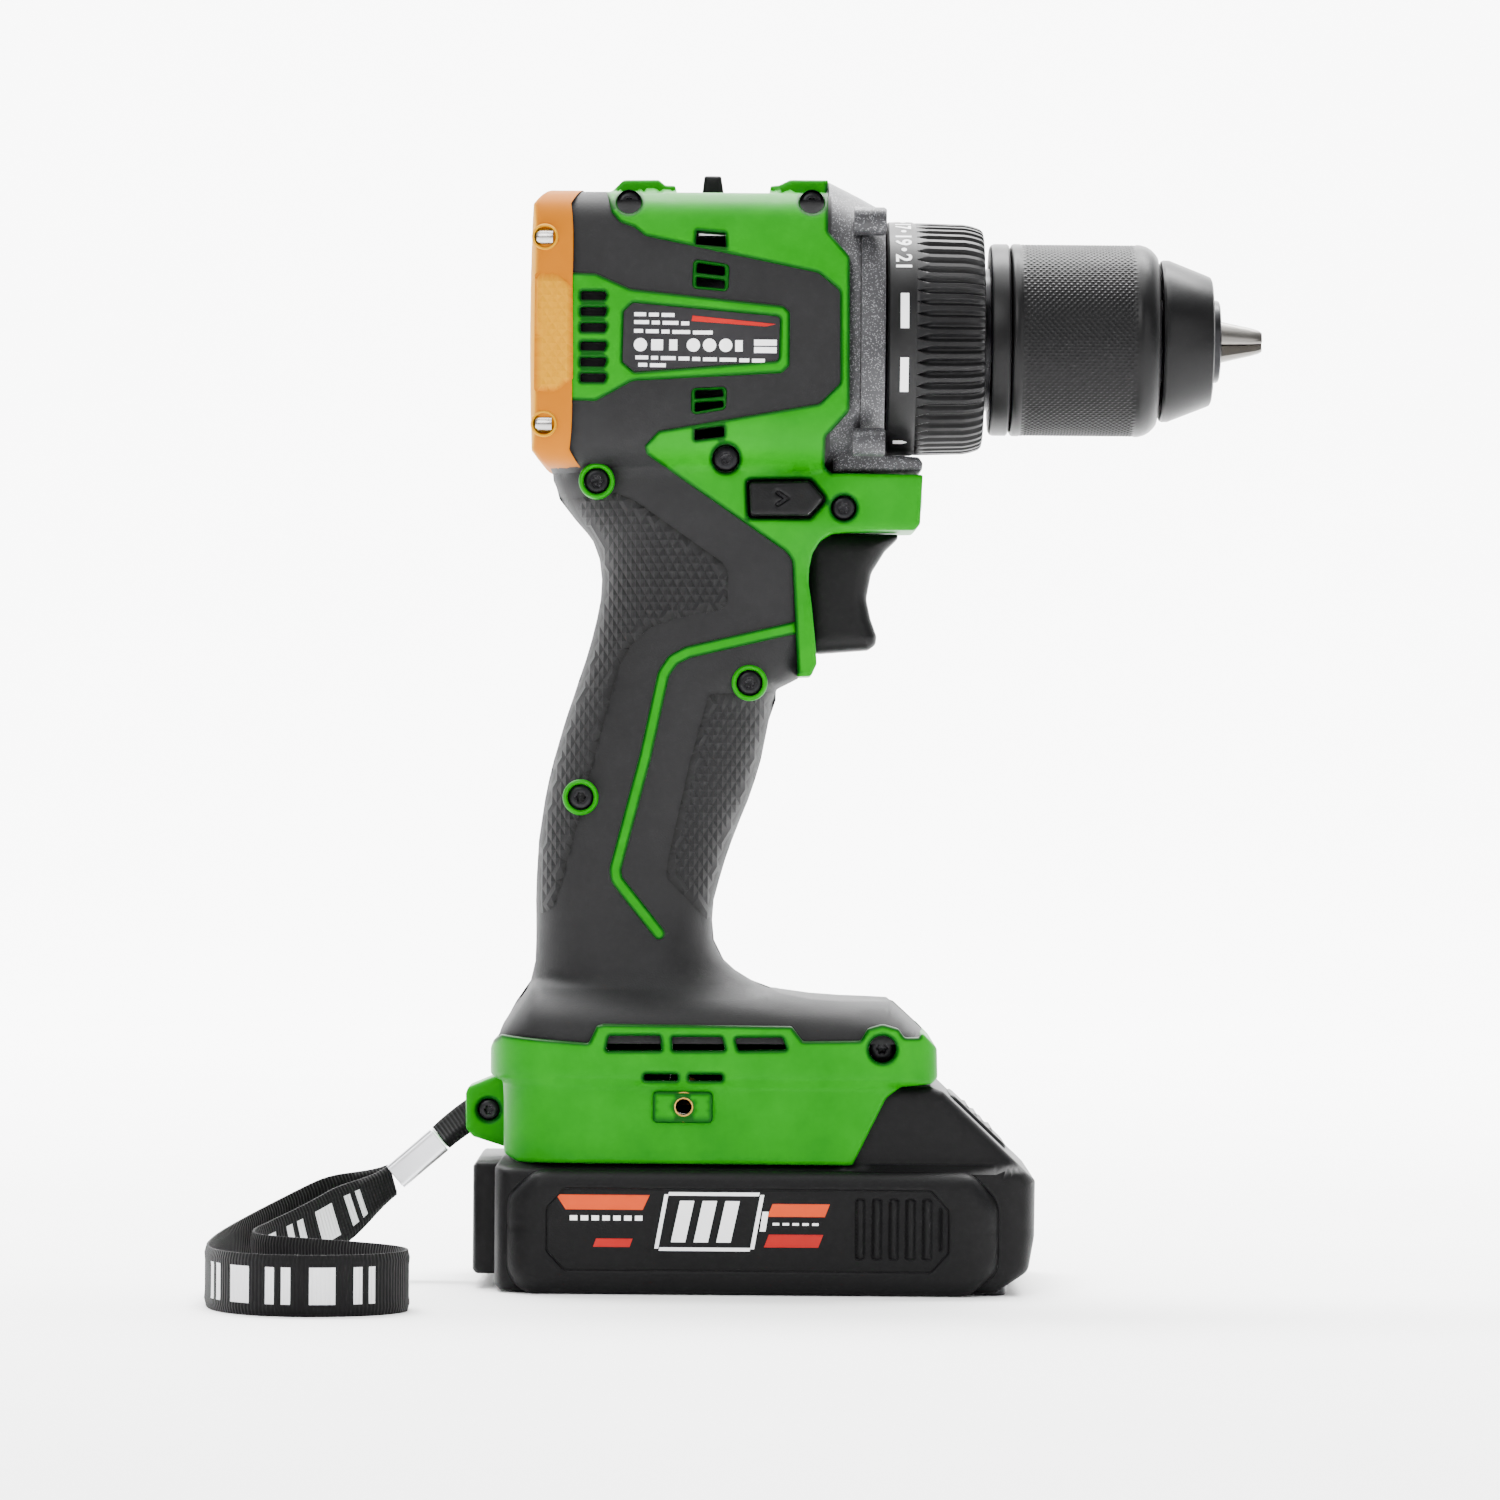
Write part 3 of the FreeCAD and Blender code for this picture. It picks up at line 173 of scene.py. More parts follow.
def across(path, z):
    """x of a nearly upright path at heights z."""
    path = np.array(sorted(path, key=lambda point: point[1]))
    return np.interp(z, path[:, 1], path[:, 0])


def oval(u, power):
    """Height of a superellipse at u, 1 in the middle and 0 at its ends."""
    return np.clip(1 - np.clip(np.abs(u), 0, 1) ** power, 0, 1) ** (1 / power)


def soft_max(a, b, reach):
    """Larger of two surfaces, with a fillet of about reach between them."""
    mix = np.clip(0.5 + 0.5 * (a - b) / reach, 0, 1)
    return b + (a - b) * mix + reach * mix * (1 - mix)


def step_up(value, low, high):
    """Smooth step from 0 at low to 1 at high."""
    u = np.clip((value - low) / (high - low), 0, 1)
    return u * u * (3 - 2 * u)


def head_width(x, z):
    """Half width of the motor's barrel, drawn in slightly at the back."""
    flat = oval((z - HEAD_MIDDLE) / HEAD_TALL, HEAD_POWER)
    return (HEAD_HALF - 1.2 * step_up(-x, 34, 43)) * flat


def grip_width(x, z):
    """Half width of the grip."""
    back, front = across(GRIP_BACK, z), across(GRIP_FRONT, z)
    middle, deep = (back + front) / 2, (front - back) / 2
    half = np.interp(z, [55, 64, 76, 92, 108, 126, 142, 155, 172],
                     [22, 18.4, 16.8, 16.6, 16.8, 17.2, 17.6, 18.2, 20])
    power = np.where(x > middle, 2.35 + 2.4 * step_up(z, 118, 136), 2.35)
    return half * oval((x - middle) / deep, power)


def shoe_width(x, z):
    """Half width of the soft shoe on top of the foot."""
    top = np.interp(x, [-52, -44, 6, 29, 36.5], [52, 63, 61, 59.2, 52.5])
    plan = plan_width(x, -52.0, 37.0, 31.6, 15, 7)
    rise = np.clip((z - 50.5) / np.maximum(top - 50.5, 0.5), 0, 1.2)
    return plan * oval(rise, 2.6)


def plan_width(x, back, front, half, back_radius, front_radius):
    """Half width of a block with rounded corners seen from above."""
    near_back = np.clip((back + back_radius - x) / back_radius, 0, 1)
    near_front = np.clip((x - front + front_radius) / front_radius, 0, 1)
    return (half - back_radius * (1 - np.sqrt(1 - near_back ** 2))
            - front_radius * (1 - np.sqrt(1 - near_front ** 2)))


def foot_width(x, z):
    """Half width of the foot: an upper band that stands proud of the lower part."""
    band = plan_width(x, -52.8, 39.6, 33.0, 15, 9)
    lower = plan_width(x, -50.4, 44.0, 31.6, 13, 9)
    return lower + (band - lower) * step_up(z, 42.0, 43.6)


def nose_width(x, z):
    """Half width of the block above the trigger and of the guard below it."""
    return 14.5 + 3.1 * step_up(z, 146, 158) - 3.0 * step_up(x, 20, 36) * step_up(z, 150, 156)


def body_width(x, z):
    """Half width of the dark body: head, grip and shoe in one."""
    head = np.where(x < 20.6, head_width(x, z), 0)
    grip = np.where(z < 172, grip_width(x, z), 0)
    shoe = np.where(z < 66, shoe_width(x, z), 0)
    return soft_max(soft_max(head, grip, 3.0), shoe, 5.0)


def casing_width(x, z):
    """Half width of the hard casing over the whole drill."""
    towers = np.where(np.abs(z - 223) < 8, 13.6, 0)
    body = soft_max(body_width(x, z), towers, 1.0)
    nose = np.where((z < 176) & (z > 124) & (x > -24), nose_width(x, z), 0)
    return soft_max(body, nose, 2.0)


# --- Mesh makers ------------------------------------------------------------------------------

def add_object(name, vertices, faces, body, material, smooth=60, merge=True, edge=None):
    """Mesh object from millimetre points, riding on a body. edge is a painted-shade weight per
    point, 1 where the colour is darkened.
    """
    mesh = bpy.data.meshes.new(name)
    mesh.from_pydata([tuple(MM * c for c in vertex) for vertex in vertices], [], faces)
    if edge is not None:
        data = mesh.attributes.new("edge", "FLOAT", "POINT")
        data.data.foreach_set("value", [float(value) for value in edge])
    thing = bpy.data.objects.new(name, mesh)
    bpy.context.scene.collection.objects.link(thing)
    finish_mesh(thing, smooth, merge)
    thing.data.materials.append(material)
    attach(thing, body)
    return thing


def finish_mesh(thing, smooth=60, merge=True):
    """Merge double points, turn normals outward and smooth all but the sharp edges."""
    work = bmesh.new()
    work.from_mesh(thing.data)
    if merge:
        bmesh.ops.remove_doubles(work, verts=work.verts, dist=0.000004)
        bmesh.ops.dissolve_degenerate(work, edges=work.edges, dist=0.000002)
    bmesh.ops.recalc_face_normals(work, faces=work.faces)
    limit = math.radians(smooth)
    for face in work.faces:
        face.smooth = True
    for edge in work.edges:
        if len(edge.link_faces) == 2 and edge.calc_face_angle(0) > limit:
            edge.smooth = False
    work.to_mesh(thing.data)
    work.free()


def interior_points(outline, holes, pitch, rows):
    """Points to fill an outline: a staggered grid, and rows that follow every border."""
    low, high = outline.min(axis=0), outline.max(axis=0)
    xs = np.arange(low[0], high[0], pitch)
    zs = np.arange(low[1], high[1], pitch * 0.87)
    grid = np.array([(x + (j % 2) * pitch / 2, z) for j, z in enumerate(zs) for x in xs])
    borders = [outline, *holes]
    reach = rows[-1] + pitch * 0.5
    chosen = []
    if len(grid):
        keep = inside(grid, outline)
        for border in borders:
            keep &= distance(grid, border) > reach
        for hole in holes:
            keep &= ~inside(grid, hole)
        chosen.append(grid[keep])
    for border in borders:
        ahead = np.roll(border, -1, axis=0) - np.roll(border, 1, axis=0)
        ahead /= np.maximum(np.linalg.norm(ahead, axis=1), 1e-9)[:, None]
        normal = np.stack([-ahead[:, 1], ahead[:, 0]], axis=1)
        for side in (1, -1):
            for depth in rows:
                row = border + side * normal * depth
                keep = inside(row, outline)
                for other in borders:
                    keep &= distance(row, other) > depth * 0.93
                for hole in holes:
                    keep &= ~inside(row, hole)
                chosen.append(row[keep])
    return np.concatenate(chosen)


def filled(outline, holes, pitch, rows, net):
    """Triangulation of an outline with holes: points and triangles."""
    if net is None:
        points = [outline, *holes, interior_points(outline, list(holes), pitch, rows)]
        edges = []
    else:
        points = [outline, net[0]]
        edges = [(len(outline) + a, len(outline) + b) for a, b in net[1]]
    start = 0
    for border in (outline, *holes):
        count = len(border)
        edges += [(start + i, start + (i + 1) % count) for i in range(count)]
        start += count
    flat = [Vector(point) for point in np.concatenate(points)]
    result = delaunay_2d_cdt(flat, edges, [], 0, 1e-4)
    spots = np.array([tuple(vertex) for vertex in result[0]])
    faces = [tuple(face) for face in result[2]]
    centres = np.array([spots[list(face)].mean(axis=0) for face in faces])
    keep = inside(centres, outline)
    for hole in holes:
        keep &= ~inside(centres, hole)
    return spots, [face for face, wanted in zip(faces, keep) if wanted]


def border_edges(faces):
    """Edges used by one face only, in that face's direction."""
    seen = {}
    for face in faces:
        for i, a in enumerate(face):
            b = face[(i + 1) % len(face)]
            seen[frozenset((a, b))] = None if frozenset((a, b)) in seen else (a, b)
    return [edge for edge in seen.values() if edge]


def skin(name, outline, body, slot, material, width=casing_width, lift=0.0, rim=0.8, round_rim=0.7,
         holes=(), side=RIGHT, pitch=1.4, rows=(0.12, 0.4, 0.9, 1.7), to_middle=None, depth=2.5,
         relief=None, hole_depth=2.5, net=None, place=None, hole_rim=None,
         crease=60):
    """Part of the casing: a region of the side view laid on the width surface.

    lift raises it, rim rounds its free borders down by that much, and to_middle(x, z) says
    where its border is the drill's own outline, and runs across to the centre plane instead.
    """
    outline = np.array(outline)
    holes = [np.array(hole) for hole in holes]
    spots, faces = filled(outline, holes, pitch, rows, net)
    x, z = spots.T
    height = width(x, z) + lift
    if relief is not None:
        height = height + relief(x, z)
    free = np.ones(len(outline), bool)
    if to_middle is not None:
        free = ~to_middle(outline[:, 0], outline[:, 1])
    edge = np.zeros(len(spots))
    if rim > 0:
        # A silhouette border is rounded too, but keeps the plain tone; free borders and hole
        # borders get painted shade through the edge weight.
        away = distance(spots, outline)
        free_away = np.full(len(spots), 1e9)
        if free.any():
            for start, end in zip(outline[free], np.roll(outline, -1, axis=0)[free]):
                free_away = np.minimum(free_away, distance(spots, np.array([start, end]), False))
        hole_away = np.full(len(spots), 1e9)
        for hole in holes:
            hole_away = np.minimum(hole_away, distance(spots, hole))
        drop, reach = hole_rim or (rim, round_rim)
        u = np.clip(away / round_rim, 0, 1)
        height = height - rim * (1 - np.sqrt(1 - (1 - u) ** 2))
        u = np.clip(hole_away / reach, 0, 1)
        height = height - drop * (1 - np.sqrt(1 - (1 - u) ** 2))
        edge = 1 - step_up(np.minimum(free_away, hole_away), 0.35, 0.75)
    on_outline = distance(spots, outline) < 1e-3
    if place is None:
        def place(u, out, v):
            return u, side * out, v
    vertices = [place(*spot) for spot in zip(x, height, z)]
    edge = list(edge)
    if side == LEFT:
        faces = [tuple(reversed(face)) for face in faces]
    edges = border_edges(faces)
    middle = np.zeros(len(spots), bool)
    if to_middle is not None:
        middle = to_middle(x, z) & on_outline
    lower = {}
    for a, b in edges:
        for k in (a, b):
            if k in lower:
                continue
            base = height[k]
            if middle[k]:
                chain = [base * 0.66, base * 0.33, 0.0]
            else:
                chain = [base - (hole_depth if not on_outline[k] else depth)]
            lower[k] = [len(vertices) + i for i in range(len(chain))]
            vertices += [place(x[k], value, z[k]) for value in chain]
            # The walls that drop into the grooves are fully darkened: painted shade.
            edge += [1.0 if not middle[k] else 0.0] * len(chain)
    for a, b in edges:
        chain_a, chain_b = [a, *lower[a]], [b, *lower[b]]
        while len(chain_a) < len(chain_b):
            chain_a.append(chain_a[-1])
        while len(chain_b) < len(chain_a):
            chain_b.append(chain_b[-1])
        for k in range(len(chain_a) - 1):
            quad = [chain_b[k], chain_a[k], chain_a[k + 1], chain_b[k + 1]]
            quad = [v for i, v in enumerate(quad) if v not in quad[:i]]
            if len(quad) > 2:
                faces.append(tuple(quad))
    return add_object(name, vertices, faces, body, material, crease, edge=edge)


def ring_faces(rings, count, closed=False):
    """Quads between neighbouring rings of count points; closed joins the last to the first."""
    return [(i * count + k, i * count + (k + 1) % count,
             (i + 1) % rings * count + (k + 1) % count, (i + 1) % rings * count + k)
            for i in range(rings if closed else rings - 1) for k in range(count)]


def lathe(name, profile, body, slot, material, segments=160, axis_z=AXIS_Z, dent=None, smooth=40,
          closed=True):
    """Surface of revolution about the head axis from (x, radius) points.

    dent(x, radius, angle) lowers the surface, for knurls and ribs.
    """
    vertices = []
    for x, radius in profile:
        for k in range(segments):
            angle = 2 * math.pi * k / segments
            here = radius - (dent(x, radius, angle) if dent else 0.0)
            vertices.append((x, here * math.sin(angle), axis_z + here * math.cos(angle)))
    faces = ring_faces(len(profile), segments, closed)
    return add_object(name, vertices, faces, body, material, smooth)


def screw_head(name, x, z, top, radius, side, body, slot, material):
    """Countersunk-looking round head with a six-lobed recess, facing out of the side."""
    segments = 48
    rings = [(0.0, -1.1, True), (0.7, -1.1, True), (0.92, -1.0, True), (1.0, -0.05, True),
             (0.52, 0.0, False), (0.8, -0.05, False), (0.94, -0.25, False), (1.0, -0.7, False),
             (1.0, -2.2, False)]
    vertices = []
    for share, height, lobed in rings:
        for k in range(segments):
            angle = 2 * math.pi * k / segments
            reach = radius * (0.40 + 0.055 * math.cos(6 * angle)) if lobed else radius
            vertices.append((x + share * reach * math.cos(angle), side * (top + height),
                             z + share * reach * math.sin(angle)))
    faces = ring_faces(len(rings), segments)
    return add_object(name, vertices, faces, body, material, 35)


def turned_boss(name, x, z, side, profile, body, slot, material, segments=48):
    """Surface of revolution about a line across the drill, from (radius, y) points."""
    vertices = [(x + radius * math.cos(2 * math.pi * k / segments), side * y,
                 z + radius * math.sin(2 * math.pi * k / segments))
                for radius, y in profile for k in range(segments)]
    faces = ring_faces(len(profile), segments)
    return add_object(name, vertices, faces, body, material, 40)


def marks(name, shapes, place, body, material, thick=0.06):
    """Printed marks: flat polygons laid on a surface, with thin edges."""
    vertices, faces = [], []
    for shape in shapes:
        shape = divided(shape, 1.2)
        count, first = len(shape), len(vertices)
        vertices += [place(u, thick, v) for u, v in shape]
        vertices += [place(u, -thick, v) for u, v in shape]
        faces.append(tuple(range(first, first + count)))
        faces += [(first + i, first + count + i, first + count + (i + 1) % count,
                   first + (i + 1) % count) for i in range(count)]
    return add_object(name, vertices, faces, body, material, 30)


def tube_rings(name, rings, body, slot, material, smooth=40, cap_start=True, cap_end=True):
    """Surface through equal rings of points, with flat ends."""
    count = len(rings[0])
    vertices = [point for ring in rings for point in ring]
    faces = ring_faces(len(rings), count)
    if cap_start:
        faces.append(tuple(range(count)))
    if cap_end:
        faces.append(tuple((len(rings) - 1) * count + k for k in range(count)))
    return add_object(name, vertices, faces, body, material, smooth)


def disc_rings(profile, first, second, segments, axis="x"):
    """Rings of points about an upright or lengthwise axis, from (place on it, radius) pairs.

    The axis crosses the other two directions at first and second.
    """
    rings = []
    for place, radius in profile:
        ring = []
        for k in range(segments):
            angle = 2 * math.pi * k / segments
            a, b = first + radius * math.cos(angle), second + radius * math.sin(angle)
            ring.append((place, a, b) if axis == "x" else (a, b, place))
        rings.append(ring)
    return rings


def level_at(height):
    """Flat surface at one height."""
    return lambda x, z: height + 0 * x


def box_marks(x, z, long, tall, slant=0.0):
    """Corners of a small rectangle about a middle, its sides leaning by slant."""
    return [(x - long / 2 - slant, z - tall / 2), (x + long / 2 - slant, z - tall / 2),
            (x + long / 2 + slant, z + tall / 2), (x - long / 2 + slant, z + tall / 2)]


def round_marks(x, z, radius, count=20):
    """Corners of a disc."""
    return [(x + radius * math.cos(2 * math.pi * k / count),
             z + radius * math.sin(2 * math.pi * k / count)) for k in range(count)]


def circle(x, z, radius, step=0.5):
    """Closed path round a point in the side view."""
    count = max(16, int(2 * math.pi * radius / step))
    return np.array(round_marks(x, z, radius, count))


def near(path, reach=0.35):
    """Test for points that lie on an open path."""
    path = np.array([point[:2] for point in path], float)
    return lambda x, z: distance(np.stack([x, z], axis=1), path, False) < reach


def any_of(*tests):
    """Test for points that pass any of the tests."""
    return lambda x, z: np.any([test(x, z) for test in tests], axis=0)


def everywhere(x, z):
    """All of a border runs across to the centre plane."""
    return np.ones(len(x), bool)


# --- Materials --------------------------------------------------------------------------------

def colour(red, green, blue):
    """Linear colour from screen values of 0 to 255."""
    return tuple((c / 255 / 12.92) if c / 255 <= 0.04045 else ((c / 255 + 0.055) / 1.055) ** 2.4
                 for c in (red, green, blue)) + (1.0,)


def node(tree, kind, **inputs):
    """New shader node with some of its sockets set; double underscores stand for spaces."""
    made = tree.nodes.new(kind)
    for name, value in inputs.items():
        made.inputs[name.replace("__", " ")].default_value = value
    return made


def blend(tree, factor, base, top):
    """Colour socket that is base, and top where the factor is 1."""
    mix = node(tree, "ShaderNodeMix")
    mix.data_type = "RGBA"
    tree.links.new(factor, mix.inputs["Factor"])
    tree.links.new(base, mix.inputs[6])
    mix.inputs[7].default_value = top
    return mix.outputs[2]


def above(tree, value, limit):
    """Socket that is 1 where the value is over the limit, and 0 elsewhere."""
    test = node(tree, "ShaderNodeMath")
    test.operation = "GREATER_THAN"
    test.inputs[1].default_value = limit
    tree.links.new(value, test.inputs[0])
    return test.outputs[0]


def shader_of(tree):
    """The tree's shader node."""
    return next(part for part in tree.nodes if part.type == "BSDF_PRINCIPLED")


def surface(name, low, high, rough, metallic=0.0, patch=90.0, grain=2600.0, bump=0.12,
            edge=None, flecks=None, specular=0.5, coat=0.0, rough_spread=0.08, brushed=None):
    """Procedural finish: two tones in soft patches, uneven roughness and a fine moulded grain.

    edge is a darker tone for the rims and walls of raised skins, painted shade for the grooves
    between pieces, and flecks (tone, share) scatters bright specks.
    """
    material = bpy.data.materials.new(name)
    material.use_nodes = True
    tree = material.node_tree
    tree.nodes.clear()
    links = tree.links
    output = node(tree, "ShaderNodeOutputMaterial")
    shader = node(tree, "ShaderNodeBsdfPrincipled", Metallic=metallic)
    shader.inputs["Specular IOR Level"].default_value = specular
    shader.inputs["Coat Weight"].default_value = coat
    shader.inputs["Coat Roughness"].default_value = 0.15
    links.new(shader.outputs[0], output.inputs[0])
    place = node(tree, "ShaderNodeTexCoord")
    source = place.outputs["Object"]
    if brushed:
        stretch = node(tree, "ShaderNodeMapping")
        stretch.inputs["Scale"].default_value = brushed
        links.new(source, stretch.inputs["Vector"])
        source = stretch.outputs[0]
    cloud = node(tree, "ShaderNodeTexNoise", Scale=patch, Detail=4.0, Roughness=0.6)
    links.new(source, cloud.inputs["Vector"])
    tones = node(tree, "ShaderNodeValToRGB")
    tones.color_ramp.elements[0].position = 0.3
    tones.color_ramp.elements[0].color = low
    tones.color_ramp.elements[1].position = 0.7
    tones.color_ramp.elements[1].color = high
    links.new(cloud.outputs["Fac"], tones.inputs["Fac"])
    result = tones.outputs["Color"]
    fine = node(tree, "ShaderNodeTexNoise", Scale=grain, Detail=2.0, Roughness=0.5)
    links.new(source, fine.inputs["Vector"])
    if flecks:
        cells = node(tree, "ShaderNodeTexVoronoi", Scale=grain)
        links.new(place.outputs["Object"], cells.inputs["Vector"])
        pick = node(tree, "ShaderNodeSeparateColor")
        links.new(cells.outputs["Color"], pick.inputs[0])
        tone, share = flecks
        result = blend(tree, above(tree, pick.outputs[0], 1 - share), result, tone)
    # Painted shade: the edge tone darkens rims, groove walls and hole borders.
    if edge:
        rim = node(tree, "ShaderNodeAttribute")
        rim.attribute_name = "edge"
        result = blend(tree, rim.outputs["Fac"], result, edge)
    links.new(result, shader.inputs["Base Color"])
    spread = node(tree, "ShaderNodeMapRange")
    spread.inputs["To Min"].default_value = max(0.02, rough - rough_spread)
    spread.inputs["To Max"].default_value = min(1.0, rough + rough_spread)
    links.new(cloud.outputs["Fac"], spread.inputs["Value"])
    links.new(spread.outputs[0], shader.inputs["Roughness"])
    relief = node(tree, "ShaderNodeBump", Strength=bump, Distance=0.0002)
    links.new(fine.outputs["Fac"], relief.inputs["Height"])
    links.new(relief.outputs["Normal"], shader.inputs["Normal"])
    return material


# The edge tones below are painted shade: darker copies of each colour for the rims and groove walls
# of raised skins.
GREEN = surface("green_shell", colour(4, 108, 0), colour(9, 122, 0), 0.44,
                edge=colour(0, 58, 2), bump=0.10, specular=0.08)
RUBBER = surface("soft_cover", colour(18, 18, 19), colour(24, 24, 25), 0.62, bump=0.22,
                 edge=colour(11, 11, 11), specular=0.18)
ORANGE = surface("orange_shell", colour(176, 120, 0), colour(184, 128, 0), 0.6,
                 edge=colour(160, 92, 0), bump=0.12, specular=0.05)
GEAR_PAINT = surface("speckled_paint", colour(46, 46, 48), colour(58, 58, 60), 0.42, metallic=0.3,
                     grain=5200.0, flecks=(colour(104, 104, 107), 0.14), bump=0.2,
                     edge=colour(40, 40, 42), specular=0.3)
DARK = surface("black_plastic", colour(7, 7, 8), colour(12, 12, 13), 0.46, bump=0.2,
               specular=0.14)
COLLAR_DARK = surface("collar_plastic", colour(8, 8, 9), colour(13, 13, 14), 0.42, bump=0.08,
                      specular=0.2)
CHUCK_DARK = surface("chuck_plastic", colour(5, 5, 6), colour(9, 9, 10), 0.38, bump=0.08,
                     specular=0.16)
BATTERY_DARK = surface("battery_plastic", colour(6, 6, 7), colour(10, 10, 11), 0.50, bump=0.25,
                       edge=colour(6, 6, 7), specular=0.12)
LABEL = surface("label_film", colour(28, 27, 29), colour(33, 32, 34), 0.35, bump=0.03,
                specular=0.25)
WHITE_INK = surface("white_ink", colour(232, 232, 234), colour(244, 244, 244), 0.5, bump=0.02)
RED_INK = surface("red_ink", colour(150, 8, 4), colour(162, 12, 6), 0.45, bump=0.02,
                  specular=0.2)
ORANGE_INK = surface("orange_ink", colour(186, 56, 0), colour(196, 64, 0), 0.45, bump=0.02,
                     specular=0.2)
STEEL = surface("ground_steel", colour(130, 130, 133), colour(156, 156, 158), 0.32, metallic=1.0,
                patch=60.0, bump=0.04, brushed=(30.0, 400.0, 400.0))
SCREW_STEEL = surface("blackened_steel", colour(20, 20, 22), colour(32, 32, 34), 0.30,
                      metallic=0.6, bump=0.06, specular=0.3)
BRIGHT_SCREW = surface("zinc_steel", colour(150, 148, 146), colour(186, 184, 180), 0.26,
                       metallic=1.0, bump=0.05)
JAW_STEEL = surface("jaw_steel", colour(92, 90, 87), colour(126, 123, 119), 0.30, metallic=1.0,
                    bump=0.05, brushed=(60.0, 700.0, 700.0))
IRON = surface("laminations", colour(50, 50, 53), colour(74, 74, 78), 0.5, metallic=0.8, bump=0.3,
               brushed=(3000.0, 60.0, 60.0))
COPPER = surface("copper_wire", colour(176, 96, 50), colour(206, 124, 70), 0.32, metallic=1.0,
                 bump=0.4, brushed=(60.0, 900.0, 900.0))
BRASS = surface("turned_brass", colour(150, 112, 52), colour(184, 146, 80), 0.3, metallic=1.0,
                bump=0.1)
BOARD = surface("board_lacquer", colour(8, 66, 30), colour(14, 84, 40), 0.3, bump=0.15)
WRAP = surface("cell_wrap", colour(16, 92, 134), colour(26, 110, 154), 0.3, bump=0.05)
CHROME = surface("chrome", colour(214, 214, 218), colour(236, 236, 240), 0.30, metallic=1.0,
                 patch=40.0, bump=0.01, rough_spread=0.04)
LENS = surface("lens", colour(214, 222, 230), colour(236, 242, 248), 0.14, bump=0.01, coat=0.6)


def webbing():
    """Ribbed black weave, printed with pale blocks on its outer face."""
    material = surface("strap_webbing", colour(7, 7, 8), colour(11, 11, 12), 0.75,
                       grain=1500.0, bump=0.1, specular=0.12)
    tree = material.node_tree
    links = tree.links
    shader = shader_of(tree)
    shader.inputs["Sheen Weight"].default_value = 0.04
    along, across_it, face = (node(tree, "ShaderNodeAttribute") for _ in range(3))
    along.attribute_name, across_it.attribute_name, face.attribute_name = "along", "across", "face"

    def maths(kind, first, second):
        made = node(tree, "ShaderNodeMath")
        made.operation = kind
        for socket, value in zip(made.inputs, (first, second)):
            if isinstance(value, float):
                socket.default_value = value
            else:
                links.new(value, socket)
        return made.outputs[0]

    # Blocks of two lengths along the strap, 6 mm tall in its 12 mm.
    place = along.outputs["Fac"]
    first = maths("LESS_THAN", maths("MODULO", place, 8.6), 5.0)
    gap = maths("GREATER_THAN", maths("MODULO", place, 51.6), 9.0)
    bar = maths("GREATER_THAN", maths("ABSOLUTE", maths("SUBTRACT", maths(
        "MODULO", place, 17.2), 11.1), 0.0), 0.7)
    tall = maths("LESS_THAN", maths("ABSOLUTE", across_it.outputs["Fac"], 0.0), 0.60)
    ink = maths("MULTIPLY", maths("MULTIPLY", maths("MULTIPLY", first, gap),
                                  maths("MULTIPLY", bar, tall)), face.outputs["Fac"])
    cloth = shader.inputs["Base Color"].links[0].from_socket
    links.new(blend(tree, ink, cloth, colour(214, 214, 216)), shader.inputs["Base Color"])
    wave = maths("SINE", maths("MULTIPLY", place, 7.5), 0.0)
    relief = node(tree, "ShaderNodeBump", Strength=0.5, Distance=0.0002)
    links.new(wave, relief.inputs["Height"])
    links.new(shader.inputs["Normal"].links[0].from_socket, relief.inputs["Normal"])
    links.new(relief.outputs["Normal"], shader.inputs["Normal"])
    return material


WEBBING = webbing()


def board_with_clips(clip_foot):
    """Green lacquer, turning to brass above the height where the contact clips stand."""
    material = surface("board_and_clips", colour(8, 66, 30), colour(14, 84, 40), 0.3, bump=0.15)
    tree = material.node_tree
    links = tree.links
    shader = shader_of(tree)
    place = node(tree, "ShaderNodeTexCoord")
    split = node(tree, "ShaderNodeSeparateXYZ")
    links.new(place.outputs["Object"], split.inputs[0])
    clip = above(tree, split.outputs["Z"], clip_foot)
    lacquer = shader.inputs["Base Color"].links[0].from_socket
    links.new(blend(tree, clip, lacquer, colour(184, 146, 80)), shader.inputs["Base Color"])
    links.new(clip, shader.inputs["Metallic"])
    return material


CAD_FINISH = {
    "green_plastic": GREEN, "grip_rubber": RUBBER, "orange_plastic": ORANGE,
    "screw_steel": SCREW_STEEL, "gear_metal": GEAR_PAINT, "motor_iron": IRON,
    "copper_wire": COPPER, "steel": STEEL, "black_plastic": DARK, "collar_plastic": COLLAR_DARK,
    "chuck_plastic": CHUCK_DARK, "jaw_steel": JAW_STEEL, "board_green": BOARD,
    "lens_clear": LENS, "plate_label": LABEL, "brass": BRASS, "strap_webbing": WEBBING,
    "ferrule_chrome": CHROME, "battery_plastic": BATTERY_DARK, "cell_wrap": WRAP,
}
CLIP_TALL = 8.1
SLOT_OF = {part["node"]: part["material_slot"] for part in frame["record"]["subparts"]}
for name, thing in frame["nodes"].items():
    finish = CAD_FINISH[SLOT_OF[name]]
    if not thing.material_slots:
        thing.data.materials.append(finish)
    if name == "battery_board":
        clips_top = max(corner[2] for corner in thing.bound_box)
        finish = board_with_clips(clips_top - CLIP_TALL * MM)
    for holder in thing.material_slots:
        holder.material = finish


# --- Casing outlines, (x, z) with an optional corner radius -----------------------------------

SIDES = ((RIGHT, "right"), (LEFT, "left"))
